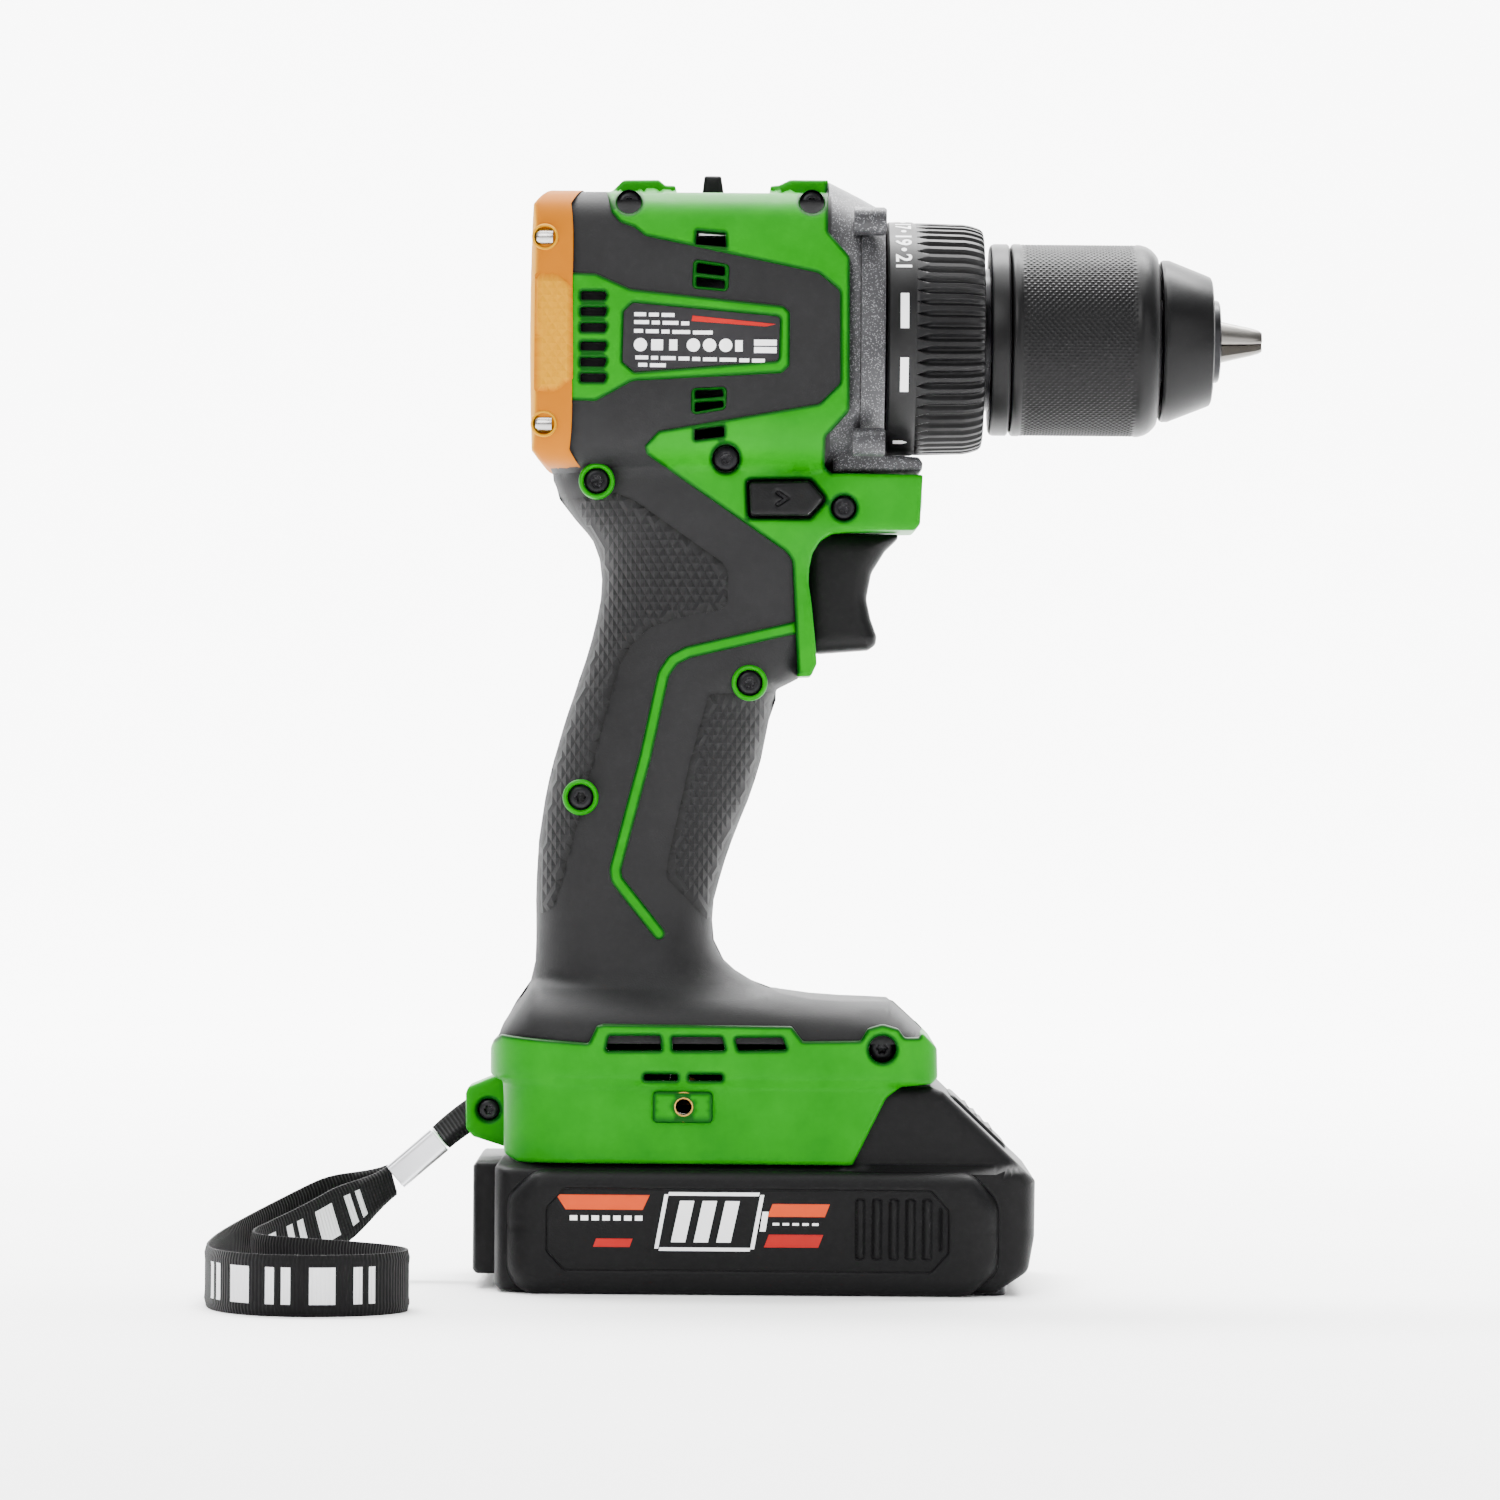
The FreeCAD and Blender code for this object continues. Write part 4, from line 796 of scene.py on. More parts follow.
# Body, slot and finish of pieces that are made alike.
SHELL = ("drill", "green_plastic", GREEN)
COVER = ("drill", "grip_rubber", RUBBER)
INSERT = ("drill", "black_plastic", DARK)
BLACK_SCREW = ("drill", "screw_steel", SCREW_STEEL)
ZINC_SCREW = ("drill", "steel", BRIGHT_SCREW)
GEAR_METAL = ("drill", "gear_metal", GEAR_PAINT)
CAP_PLASTIC = ("drill", "orange_plastic", ORANGE)
PACK_CASE = ("battery", "battery_plastic", BATTERY_DARK)
DIRECTION = ("direction", "black_plastic", DARK)
SELECTOR = ("selector", "black_plastic", DARK)
SPINDLE_STEEL = ("spindle", "steel", SCREW_STEEL)
SPINDLE_PLASTIC = ("spindle", "chuck_plastic", CHUCK_DARK)
GUARD_LEFT = [(9.7, 125.8), (9.1, 137.3), (8.4, 149.6, 2), (7.1, 151.4, 2)]
PLATE_TOP = [(-30.7, 225.4), (-29.9, 225.0, 0.5), (-27.0, 227.9, 1.2), (-19.7, 228.0, 1.0),
             (-18.4, 226.9, 0.4), (-16.3, 226.8, 0.4), (-15.9, 225.1, 0.3), (3.1, 225.1, 0.3),
             (3.3, 226.9, 0.4), (5.1, 227.1, 0.4), (7.4, 228.2, 1.0), (15.2, 228.2, 0.3)]
NOSE_EDGE = [(35.2, 167.6, 0.4), (34.7, 157.4, 0.8), (33.6, 156.1, 0.8), (19.9, 155.8, 2),
             (16.7, 155.5, 3), (14.2, 154.0, 3), (12.6, 151.4, 3), (11.9, 148.2, 3),
             (11.8, 145.0, 3), (12.4, 141.2), (13.1, 134.8), (13.6, 129.1), (13.6, 128.4, 0.6),
             (12.5, 125.9, 0.8)]
GREEN_A = [*PLATE_TOP, (15.1, 216.6, 1.2), (19.6, 211.4, 1.2), (19.8, 180.0, 1.2),
           (15.0, 174.7, 1.2), (14.8, 168.9, 1), (16.4, 167.6, 0.8), *NOSE_EDGE, *GUARD_LEFT,
           (-21.6, 170.9, 0.8), (-22.1, 172.5, 0.6), (-19.2, 175.6, 1.2), (13.6, 181.4, 1.5),
           (17.8, 185.6, 1.5), (17.6, 204.4, 1.5), (13.2, 208.0, 1.5), (-22.2, 215.3, 1.5),
           (-24.5, 217.1, 1.0), (-27.4, 218.1, 1.5), (-29.2, 220.2, 1.5), (-29.8, 223.1, 1.0)]
PLATE_SCREWS = [(-25.6, 222.5, 2.5), (11.8, 222.8, 2.5), (-5.4, 170.3, 2.8), (18.9, 160.5, 2.6)]
RINGED_SCREWS = [(-31.9, 165.6), (-0.2, 124.4), (-34.8, 100.6)]
TOP_SLOT = [(-11.9, 213.7, 0.2), (-5.7, 213.2, 0.2), (-5.9, 216.0, 0.2), (-11.7, 216.5, 0.2)]
LOW_SLOT = [(-11.8, 173.8, 0.2), (-5.8, 174.6, 0.2), (-5.8, 176.8, 0.4), (-11.8, 176.0, 0.2)]
UPPER_WINDOW = [(-12.6, 204.6, 1.0), (-5.1, 204.0, 1.0), (-4.9, 209.7, 1.0), (-12.4, 210.8, 1.0)]
LOWER_WINDOW = [(-12.6, 178.8, 1.0), (-5.4, 180.0, 1.0), (-5.2, 184.8, 1.0), (-12.6, 184.4, 1.0)]
WINDOW_SLOTS = {
    "upper": (UPPER_WINDOW, [[(-11.7, 207.9, 0.3), (-5.9, 207.3, 0.3), (-5.9, 209.3, 0.6),
                              (-11.6, 210.0, 0.3)],
                             [(-11.7, 205.2, 0.3), (-5.9, 204.7, 0.3), (-5.9, 206.5, 0.6),
                              (-11.7, 207.1, 0.3)]]),
    "lower": (LOWER_WINDOW, [[(-11.8, 182.2, 0.3), (-6.0, 182.7, 0.3), (-6.0, 184.2, 0.5),
                              (-11.8, 184.0, 0.3)],
                             [(-11.8, 179.5, 0.3), (-6.0, 180.6, 0.3), (-6.0, 181.9, 0.5),
                              (-11.8, 181.5, 0.3)]]),
}
FRAME_C = [(-39.8, 207.2), (-36.9, 207.8, 1), (-32.2, 207.6, 2), (-25.1, 204.5, 3),
           (6.1, 201.3, 1.2), (7.5, 200.0, 1.2), (7.5, 189.1, 1.2), (6.0, 187.5, 1.2),
           (-24.5, 185.7, 3), (-32.0, 181.5, 2), (-39.8, 181.7)]
LABEL_HOLE = [(-26.4, 199.8, 0.8), (-24.6, 201.6, 0.8), (5.4, 199.0, 0.8), (5.2, 190.1, 0.8),
              (-24.2, 187.6, 0.8), (-26.6, 189.6, 0.8)]
VENT_MIDDLES = [203.05, 199.8, 196.55, 192.75, 189.5, 186.3]
VENTS = [[(-35.2, z - 0.85, 0.3), (-30.4, z - 0.85, 0.3), (-30.0, z + 0.1, 0.4),
          (-30.4 if z > 200 else -30.0, z + 0.85, 0.3), (-35.2, z + 0.85, 0.3)]
         for z in VENT_MIDDLES]
STRIPE = [(9.4, 135.9), (-12.9, 130.6, 3), (-16.0, 129.0, 3), (-17.9, 126.1, 3), (-21.5, 109.1),
          (-27.5, 85.9, 3), (-27.3, 83.8, 3), (-18.4, 72.7)]
FOOT = [(-46.7, 26.3, 1), (21.5, 26.3, 1), (28.2, 40.0, 2.5), (31.1, 42.3, 2), (37.6, 43.0, 1),
        (38.8, 44.0, 1), (38.6, 50.2, 1.5), (35.5, 53.4, 1), (34.8, 52.4, 0.5), (31.9, 52.4, 0.8),
        (30.6, 54.2, 1.0), (27.4, 55.1, 2.2), (24.4, 54.2, 1.0), (22.9, 51.7, 0.8),
        (11.2, 51.5, 0.8), (8.9, 54.5, 0.8), (-29.4, 54.7, 0.8), (-30.7, 54.3, 0.6),
        (-32.3, 50.8, 0.8), (-50.3, 52.1, 0.8), (-52.0, 50.9, 0.8), (-52.8, 49.0, 0.8),
        (-52.8, 44.0, 0.8), (-50.1, 42.2, 0.8), (-49.9, 39.0), (-49.8, 27.8, 1)]
FOOT_SLOTS = [[(-28.2, 52.3, 0.4), (-17.8, 52.4, 0.4), (-17.5, 49.4, 0.4), (-28.8, 49.3, 0.4)],
              [(-15.4, 52.2, 0.4), (-5.3, 52.2, 0.4), (-4.5, 49.5, 0.4), (-15.2, 49.4, 0.4)],
              [(-2.6, 52.1, 0.4), (7.0, 52.2, 0.4), (8.0, 49.7, 0.4), (-1.9, 49.5, 0.4)],
              [(-21.0, 43.3, 0.4), (-14.2, 43.3, 0.4), (-14.2, 44.6, 0.4), (-21.0, 44.6, 0.4)],
              [(-11.9, 43.3, 0.4), (-5.1, 43.3, 0.4), (-5.1, 44.6, 0.4), (-11.9, 44.6, 0.4)]]
LUG_HALF = 6.6
CLIP_HOLE = (-12.9, 38.0, 1.65)
CLIP_PAD = [(-19.2, 34.7, 0.9), (-7.0, 34.7, 0.9), (-7.0, 41.1, 0.9), (-19.2, 41.1, 0.9)]
LUG = [(-49.0, 43.6, 1), (-53.2, 42.3, 1), (-57.9, 40.3, 1), (-58.4, 39.0, 1), (-58.3, 31.7, 1.5),
       (-56.8, 30.0, 1.5), (-49.0, 27.6, 1)]
GRIP_PAD = [(-27.9, 163.2, 1), (-24.1, 161.7, 1), (-6.1, 149.2, 2), (-4.8, 147.3, 2),
            (-4.9, 140.7, 2), (-6.0, 139.4, 2), (-15.5, 137.5, 4), (-20.8, 135.6, 4),
            (-24.9, 131.7, 4), (-27.0, 127.9, 4), (-29.2, 119.7), (-33.1, 104.6), (-35.0, 96.5),
            (-39.1, 81.4, 3), (-40.4, 77.7, 2), (-43.0, 76.2, 1)]
FINGER_PAD = [(-7.9, 74.7, 1), (-17.1, 84.2, 2), (-16.8, 87.4, 2), (-12.4, 107.8),
              (-8.7, 121.5, 1.5), (-7.8, 122.1, 1), (4.8, 122.6, 1)]
GRIP_DIAMOND = (1.9, 3.2)
CAP_DIAMOND = (2.0, 2.8)
LEVER = [(-0.6, 165.6, 0.8), (11.7, 165.8, 1), (14.8, 162.3, 1), (11.7, 158.8, 1),
         (-0.3, 158.7, 0.8)]


def band(path, half, step=0.8):
    """Closed outline of a strip along an open path, with round ends."""
    line = rounded_path(path, step, closed=False)
    ahead = np.gradient(line, axis=0)
    ahead /= np.linalg.norm(ahead, axis=1)[:, None]
    normal = np.stack([-ahead[:, 1], ahead[:, 0]], axis=1)
    turn = np.linspace(0, np.pi, 7)[1:-1]
    end = np.array([line[-1] + half * (normal[-1] * math.cos(a) + ahead[-1] * math.sin(a))
                    for a in turn])
    return np.concatenate([line + normal * half, end, (line - normal * half)[::-1]])


def diamonds(across_pitch, along_pitch, height):
    """Relief of small pyramids in a diamond net."""
    def relief(x, z):
        u = x / across_pitch + z / along_pitch
        v = x / across_pitch - z / along_pitch
        fu, fv = u - np.floor(u), v - np.floor(v)
        return height * (1 - 2 * np.maximum(np.abs(fu - 0.5), np.abs(fv - 0.5)))
    return relief


def diamond_net(outline, across_pitch, along_pitch, margin):
    """Points at the pyramids' corners and tips inside an outline, and the edges of their feet."""
    low, high = outline.min(axis=0), outline.max(axis=0)
    dx, dz = across_pitch / 2, along_pitch / 2
    spots, index = [], {}
    for i in range(int(low[0] / dx) - 1, int(high[0] / dx) + 2):
        for j in range(int(low[1] / dz) - 1, int(high[1] / dz) + 2):
            index[i, j] = len(spots)
            spots.append((i * dx, j * dz))
    spots = np.array(spots)
    keep = inside(spots, outline) & (distance(spots, outline) > margin)
    number = np.cumsum(keep) - 1
    edges = []
    for (i, j), k in index.items():
        if (i + j) % 2 or not keep[k]:
            continue
        for other in ((i + 1, j + 1), (i + 1, j - 1)):
            m = index.get(other)
            if m is not None and keep[m]:
                edges.append((number[k], number[m]))
    return spots[keep], edges


# --- Casing -----------------------------------------------------------------------------------

BODY_OUTLINE = [(-42.4, 225.1), (-18.0, 225.1), (-17.0, 224.2), (15.8, 224.2), (15.8, 214.0),
                (18.9, 210.6), (18.9, 181.0), (15.8, 177.0), (15.8, 172.0),
                (11.4, 160.0), (11.4, 131.0), (11.2, 127.0), (9.8, 125.5), (5.3, 123.2, 1),
                (5.3, 121.1, 1), (3.9, 116.9), (3.1, 112.7), (2.3, 108.6), (1.1, 104.4),
                (-0.3, 100.2), (-2.0, 96.0), (-3.6, 91.8), (-5.0, 87.7), (-6.2, 83.5),
                (-7.3, 79.3), (-7.6, 75.1), (-7.2, 71.0), (-5.1, 66.8), (-2.8, 64.8),
                (0.6, 62.7), (6.6, 60.5), (12.9, 59.5), (19.2, 59.1), (28.9, 59.0, 1.5),
                (30.2, 58.6, 1.5), (36.1, 53.2, 1.0), (36.5, 51.0), (-51.4, 50.6),
                (-50.4, 54.0), (-48.1, 58.2), (-45.2, 62.4), (-44.2, 66.5), (-44.1, 70.7),
                (-44.3, 79.0), (-44.2, 83.2), (-44.0, 87.4), (-43.8, 91.5), (-43.2, 95.7),
                (-42.6, 99.9), (-41.8, 104.0), (-40.8, 108.2), (-39.6, 112.4), (-38.4, 116.6),
                (-37.0, 120.8), (-35.7, 124.9), (-34.3, 129.1), (-33.1, 133.3), (-32.1, 137.5),
                (-31.3, 141.6), (-31.1, 145.8), (-31.6, 150.0), (-33.1, 154.1),
                (-36.8, 158.3), (-40.0, 162.4), (-40.7, 164.9), (-41.3, 166.2, 0.8),
                (-41.6, 168.8), (-42.4, 171.0)]
body_path = rounded_path(BODY_OUTLINE)
window_paths = [rounded_path(path, 0.6) for path in
                (TOP_SLOT, LOW_SLOT, UPPER_WINDOW, LOWER_WINDOW, *VENTS)]
green_path = rounded_path(GREEN_A)
frame_path = rounded_path(FRAME_C)
foot_path = rounded_path(FOOT)

lever_hole = rounded_path([(-1.1, 166.1, 0.8), (12.0, 166.3, 1), (15.4, 162.3, 1),
                           (12.0, 158.3, 1), (-0.8, 158.2, 0.8)], 0.6)
# Painted shade: a dark sheet inside the vents, so they read black and nothing shows through them.
VENT_SHADE_SHEET = [(-36.4, 184.6), (-28.6, 184.6), (-28.6, 204.8), (-36.4, 204.8)]


def body_edge(x, z):
    """The body's outline, but for the head's open front end."""
    return (x < 15.5) | (z < 171.0)


shell_edge = any_of(near(PLATE_TOP, 0.5),
                    near([(15.0, 167.6), (35.2, 167.6), *NOSE_EDGE[:-1]], 0.5),
                    near([(13.6, 128.4), (12.5, 125.9), (9.7, 125.8)], 0.5))
foot_edge = any_of(
    near([(-49.9, 42.0), (-49.8, 27.8), (-46.7, 26.3), (21.5, 26.3), (28.2, 40.0),
          (31.1, 42.3), (37.6, 43.0), (38.8, 44.0), (38.6, 50.2), (35.5, 53.4)], 0.6),
    near([(-52.0, 50.9), (-52.8, 49.0), (-52.8, 44.0), (-50.1, 42.2)], 0.6))
pad_level = span("belt_clip_inserts")[1][1] + 0.1
for side, word in SIDES:
    node_name = f"housing_{word}"
    cover_name = f"grip_cover_{word}"
    screws_here = side == RIGHT
    wells = [circle(x, z, 2.68) for x, z in RINGED_SCREWS]
    if screws_here:
        wells.append(circle(*PLATE_SCREWS[2]))
    core = skin(f"casing_{word}", body_path, *COVER, body_width,
                holes=[*window_paths, *wells, lever_hole], side=side, rim=0, to_middle=body_edge,
                hole_depth=1.8, pitch=1.7)
    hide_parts(cover_name)
    holes = [rounded_path(TOP_SLOT, 0.6), rounded_path(LOW_SLOT, 0.6)]
    if screws_here:
        holes += [circle(x, z, r) for x, z, r in PLATE_SCREWS]
    holes.append(lever_hole)
    plate = skin(f"side_shell_{word}", green_path, *SHELL, casing_width,
                 lift=0.7, rim=0.8, round_rim=0.8, holes=holes, side=side, to_middle=shell_edge,
                 hole_depth=5.5)
    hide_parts(node_name)
    skin(f"vent_frame_{word}", frame_path, *SHELL, body_width, lift=0.7,
         rim=0.8, round_rim=0.8, side=side,
         holes=[rounded_path(LABEL_HOLE), *[rounded_path(path, 0.6) for path in VENTS]],
         hole_depth=2.2)
    name_plate = skin(f"name_plate_{word}", rounded_path(LABEL_HOLE), "drill", "plate_label",
                      LABEL, body_width, lift=0.25, rim=0, side=side, depth=0.8, pitch=1.3,
                      rows=(0.6,))
    if side == RIGHT:
        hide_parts("side_plates")
    for level, (window, slots) in WINDOW_SLOTS.items():
        skin(f"window_{level}_{word}", rounded_path(window, 0.6), *SHELL,
             body_width, lift=0.15, rim=0.5, round_rim=0.5, side=side, pitch=0.8, rows=(0.15, 0.4),
             holes=[rounded_path(path, 0.5) for path in slots], hole_depth=2.4)
    # Painted shade: dark sheet under the vents.
    skin(f"vent_shade_sheet_{word}", rounded_path(VENT_SHADE_SHEET), *INSERT, body_width,
         lift=-2.3, rim=0, side=side, depth=0.5, rows=(0.6,))
    skin(f"stripe_{word}", band(STRIPE, 1.25), *SHELL, body_width,
         lift=0.5, rim=0.45, round_rim=0.5, side=side, pitch=0.9, rows=(0.12, 0.35, 0.7))
    foot_holes = [rounded_path(path, 0.6) for path in FOOT_SLOTS]
    if screws_here:
        foot_holes.append(circle(27.4, 50.0, 2.8))
    foot_holes.append(circle(*CLIP_HOLE, 0.4))
    skin(f"foot_{word}", foot_path, *SHELL, foot_width, lift=0.3,
         rim=0.8, round_rim=0.8, side=side, holes=foot_holes, to_middle=foot_edge,
         pitch=1.3)
    skin(f"clip_pad_{word}", rounded_path(CLIP_PAD, 0.6), *SHELL,
         level_at(pad_level), rim=0.5, round_rim=0.6, side=side, depth=2.6,
         holes=[circle(*CLIP_HOLE, 0.4)], pitch=1.0, rows=(0.15, 0.4), hole_depth=2.4)
    skin(f"lug_{word}", rounded_path(LUG, 0.6), *SHELL,
         level_at(LUG_HALF), rim=0.9, round_rim=1.0, side=side, to_middle=everywhere,
         holes=[circle(-53.6, 35.6, 2.3)] if screws_here else [], pitch=1.0, hole_depth=2.4)
    for label, zone, edge_path in (("palm", GRIP_PAD, GRIP_BACK), ("finger", FINGER_PAD,
                                                                    GRIP_FRONT)):
        line = np.array(edge_path)
        start, end = zone[-1], zone[0]
        part = line[(line[:, 1] > min(start[1], end[1])) & (line[:, 1] < max(start[1], end[1]))]
        if abs(part[0, 1] - start[1]) > abs(part[-1, 1] - start[1]):
            part = part[::-1]
        inward = 0.25 if label == "palm" else -0.25
        outline = rounded_path([*zone, *[(px + inward, pz) for px, pz in part[::2]]], 0.9)
        relief = diamonds(*GRIP_DIAMOND, 0.42)
        net = diamond_net(outline, *GRIP_DIAMOND, 0.75)
        skin(f"{label}_texture_{word}", outline, *COVER, body_width,
             lift=0.22, rim=0.25, round_rim=0.8, side=side, relief=relief, net=net, depth=1.2,
             crease=14)
    for number, (x, z) in enumerate(RINGED_SCREWS):
        rim_spots = circle(x, z, 3.3)
        level = float(body_width(rim_spots[:, 0], rim_spots[:, 1]).max()) + 0.1
        ring = [(3.7, level - 4.5), (3.7, level + 0.1), (3.55, level + 0.45), (3.3, level + 0.6),
                (3.0, level + 0.55), (2.75, level + 0.25), (2.7, level - 0.2), (2.7, level - 4.8)]
        turned_boss(f"screw_ring_{number + 1}_{word}", x, z, side, ring, *SHELL)
        if screws_here:
            screw_head(f"grip_screw_{number + 1}", x, z, level - 0.7, 2.6, side, *BLACK_SCREW)
        else:
            turned_boss(f"screw_post_{number + 1}_{word}", x, z, side,
                        [(0.0, level - 0.2), (1.9, level - 0.25), (2.4, level - 0.5),
                         (2.7, level - 1.2), (2.7, level - 3.0)], *COVER)

for number, (x, z, radius) in enumerate(PLATE_SCREWS):
    level = float(casing_width(np.array([x]), np.array([z]))[0]) - 0.6
    made = screw_head(f"shell_screw_{number + 1}", x, z, level, radius - 0.15, RIGHT, *BLACK_SCREW)
    if number == 0:
        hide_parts("housing_screws")
    turned_boss(f"shell_screw_well_{number + 1}", x, z, RIGHT,
                [(radius + 0.02, level + 0.9), (radius + 0.02, level - 2.6), (0.0, level - 2.6)],
                *INSERT)
screw_head("foot_screw", 27.4, 50.0, 27.5, 2.7, RIGHT, *BLACK_SCREW)
screw_head("lug_screw", -53.6, 35.6, 5.6, 2.2, RIGHT, *BLACK_SCREW)

# Direction lever, through both sides, over a dark sheet at the floor of its hole: painted shade, so
# nothing shows through.
CHEVRON = [(4.9, 163.4, 0.1), (5.5, 163.6, 0.1), (7.6, 162.2, 0.1), (5.5, 160.8, 0.1),
           (4.9, 161.0, 0.1), (6.6, 162.2, 0.1)]
LEVER_INNER = 8.0
SHADE_FLOOR = 15.0
lever_face = span("direction_lever")[1][1] - 0.2
for side, word in SIDES:
    # Painted shade: dark sheet at the floor of the lever hole.
    skin(f"lever_shade_floor_{word}", lever_hole, *INSERT,
         level_at(SHADE_FLOOR), rim=0, side=side, pitch=2.0, depth=1.0, rows=(0.5,))
    lever = skin(f"lever_{word}", rounded_path(LEVER, 0.6), *DIRECTION,
                 level_at(lever_face), rim=0.8, round_rim=0.8, side=side, pitch=1.0,
                 depth=lever_face - LEVER_INNER, holes=[rounded_path(CHEVRON, 0.4)],
                 hole_depth=0.5)
    skin(f"lever_mark_{word}", rounded_path(CHEVRON, 0.4), *DIRECTION,
         level_at(lever_face - 0.35), rim=0, side=side, pitch=1.0, depth=0.6, rows=(0.3,))
    if side == RIGHT:
        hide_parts("direction_lever")

# --- Gear housing -----------------------------------------------------------------------------


def head_ring(x, half, low, high, power, count=120):
    """Superellipse of points across the head at x."""
    middle, tall = (low + high) / 2, (high - low) / 2
    ring = []
    for k in range(count):
        angle = 2 * math.pi * k / count
        c, s = math.cos(angle), math.sin(angle)
        ring.append((x, half * math.copysign(abs(c) ** (2 / power), c),
                     middle + tall * math.copysign(abs(s) ** (2 / power), s)))
    return ring


# Sections of the gear housing: x, half width, foot, top and power of each ring.
GEAR_SECTIONS = (
    (14.8, 23.8, 168.2, 228.2, 2.9), (15.4, 24.4, 168.0, 228.6, 2.9),
    (18.0, 24.6, 168.2, 227.3, 2.9), (19.5, 24.8, 168.8, 226.6, 2.8),
    (20.2, 25.2, 169.1, 226.2, 2.8), (21.9, 25.4, 169.6, 225.4, 2.7),
    (22.1, 26.5, 169.7, 225.3, 2.6), (24.6, 26.4, 170.8, 224.0, 2.4),
    (26.5, 26.2, 171.6, 223.0, 2.3), (27.0, 25.7, 172.2, 222.5, 2.3),
    (27.05, 24.9, 172.6, 222.1, 2.2), (27.1, 15.2, 181.4, 211.5, 2.0),
    (29.5, 15.0, 181.4, 211.4, 2.0), (29.5, 13.8, 182.6, 210.2, 2.0),
    (25.4, 13.8, 182.6, 210.2, 2.0), (25.4, 23.4, 173.9, 220.8, 2.2),
    (21.4, 23.6, 171.9, 223.1, 2.5), (14.8, 22.9, 169.2, 227.2, 2.9),
)
gear_rings = [head_ring(*section) for section in GEAR_SECTIONS]
gear = tube_rings("gear_case", [*gear_rings, gear_rings[0]], *GEAR_METAL,
                  32, cap_start=False, cap_end=False)
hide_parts("gear_housing")
SHELF = [(16.6, 167.9, 0.5), (35.0, 168.4, 0.5), (35.2, 170.1, 1.0), (34.3, 171.3, 0.8),
         (27.6, 171.6, 0.8), (24.0, 175.0, 0.8), (16.6, 175.0, 0.5)]
for side, word in SIDES:
    skin(f"gear_shelf_{word}", rounded_path(SHELF, 0.6), *GEAR_METAL,
         lambda x, z: 15.4 - 2.2 * step_up(x, 26, 36), rim=0.8, round_rim=1.0, side=side,
         to_middle=everywhere, pitch=1.0)
CASE_SCREW_R = 2.4


def corner_spots(node, radius):
    """Middles (y, z) of four round heads at the corners of a node's box."""
    low, high = span(node)
    return [(y, z) for y in (low[1] + radius, high[1] - radius)
            for z in (low[2] + radius, high[2] - radius)]


for number, (y, z) in enumerate(corner_spots("gear_housing_screws", CASE_SCREW_R)):
    rings = disc_rings(((20.5, 2.9), (26.6, 2.9), (27.15, 2.5), (27.15, 2.1), (26.2, 2.05)),
                       y, z, 40)
    tube_rings(f"gear_case_post_{number + 1}", rings, *GEAR_METAL)
    rings = disc_rings(((22.0, 2.0), (26.5, 2.0), (26.95, 1.7), (27.1, 1.1)), y, z, 40)
    screw = tube_rings(f"gear_case_screw_{number + 1}", rings, *ZINC_SCREW)
    if number == 0:
        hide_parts("gear_housing_screws")

# --- Rear cap ---------------------------------------------------------------------------------

CAP_BACK = 45.8
CAP_HALF = 27.8
CAP_MIDDLE = 196.9
CAP_TALL = 28.8
CAP_SCREW_R = 2.2
LOUVRE_ROWS = 5
LOUVRE_FIRST, LOUVRE_PITCH = 184.6, 6.3
LOUVRE_Y, LOUVRE_HALF, LOUVRE_TALL = 9.3, 6.6, 1.3
NOTCH_X = -42.6
NOTCHES = (("upper", 214.9), ("lower", 176.8))
BAND = [(-44.6, 207.6, 0.6), (-40.2, 207.6, 0.6), (-36.9, 204.9, 0.8), (-36.7, 186.0, 0.8),
        (-40.0, 183.4, 0.6), (-44.6, 183.4, 0.6)]


def cap_outline():
    """Cap's edge seen from behind, (y, z)."""
    ring = head_ring(0, CAP_HALF, CAP_MIDDLE - CAP_TALL, CAP_MIDDLE + CAP_TALL, HEAD_POWER, 150)
    return np.array([(y, z) for _, y, z in ring])


def cap_depth(y, z):
    """How far back the cap stands: a flat middle and gently drawn-in sides."""
    high = np.abs(z - CAP_MIDDLE)
    return (CAP_BACK - 0.5 * np.clip(high / 25, 0, 1) ** 2
            - 2.8 * np.clip((high - 25.2) / 3.4, 0, 1)
            - 1.6 * np.clip((np.abs(y) - 20) / 8, 0, 1) ** 2)


def from_behind(u, height, v):
    """Point of the cap: u across the drill, v up it."""
    return -height, u, v


cap_spots = corner_spots("rear_cap_screws", CAP_SCREW_R)
louvres = []
for row in range(LOUVRE_ROWS):
    z = LOUVRE_FIRST + row * LOUVRE_PITCH
    for y in (-LOUVRE_Y, LOUVRE_Y):
        louvres.append([(y + i * LOUVRE_HALF, z + j * LOUVRE_TALL, 1.2)
                        for i, j in ((-1, -1), (1, -1), (1, 1), (-1, 1))])
cap = skin("cap_back", divided(cap_outline(), 0.9), *CAP_PLASTIC, cap_depth,
           rim=0.9, round_rim=1.1, place=from_behind, depth=6.4, hole_depth=3.2,
           rows=(0.15, 0.5, 1.0, 1.7), pitch=2.0,
           holes=[*[circle(y, z, 3.0) for y, z in cap_spots],
                  *[rounded_path(path, 0.7) for path in louvres]])
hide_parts("rear_cap")
for number, (y, z) in enumerate(cap_spots):
    rings = disc_rings(((-41.0, 2.3), (-43.2, 2.3), (-43.8, 1.9), (-43.9, 1.1), (-43.2, 1.0)),
                       y, z, 36)
    screw = tube_rings(f"cap_screw_{number + 1}", rings, *ZINC_SCREW)
    if number == 0:
        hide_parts("rear_cap_screws")
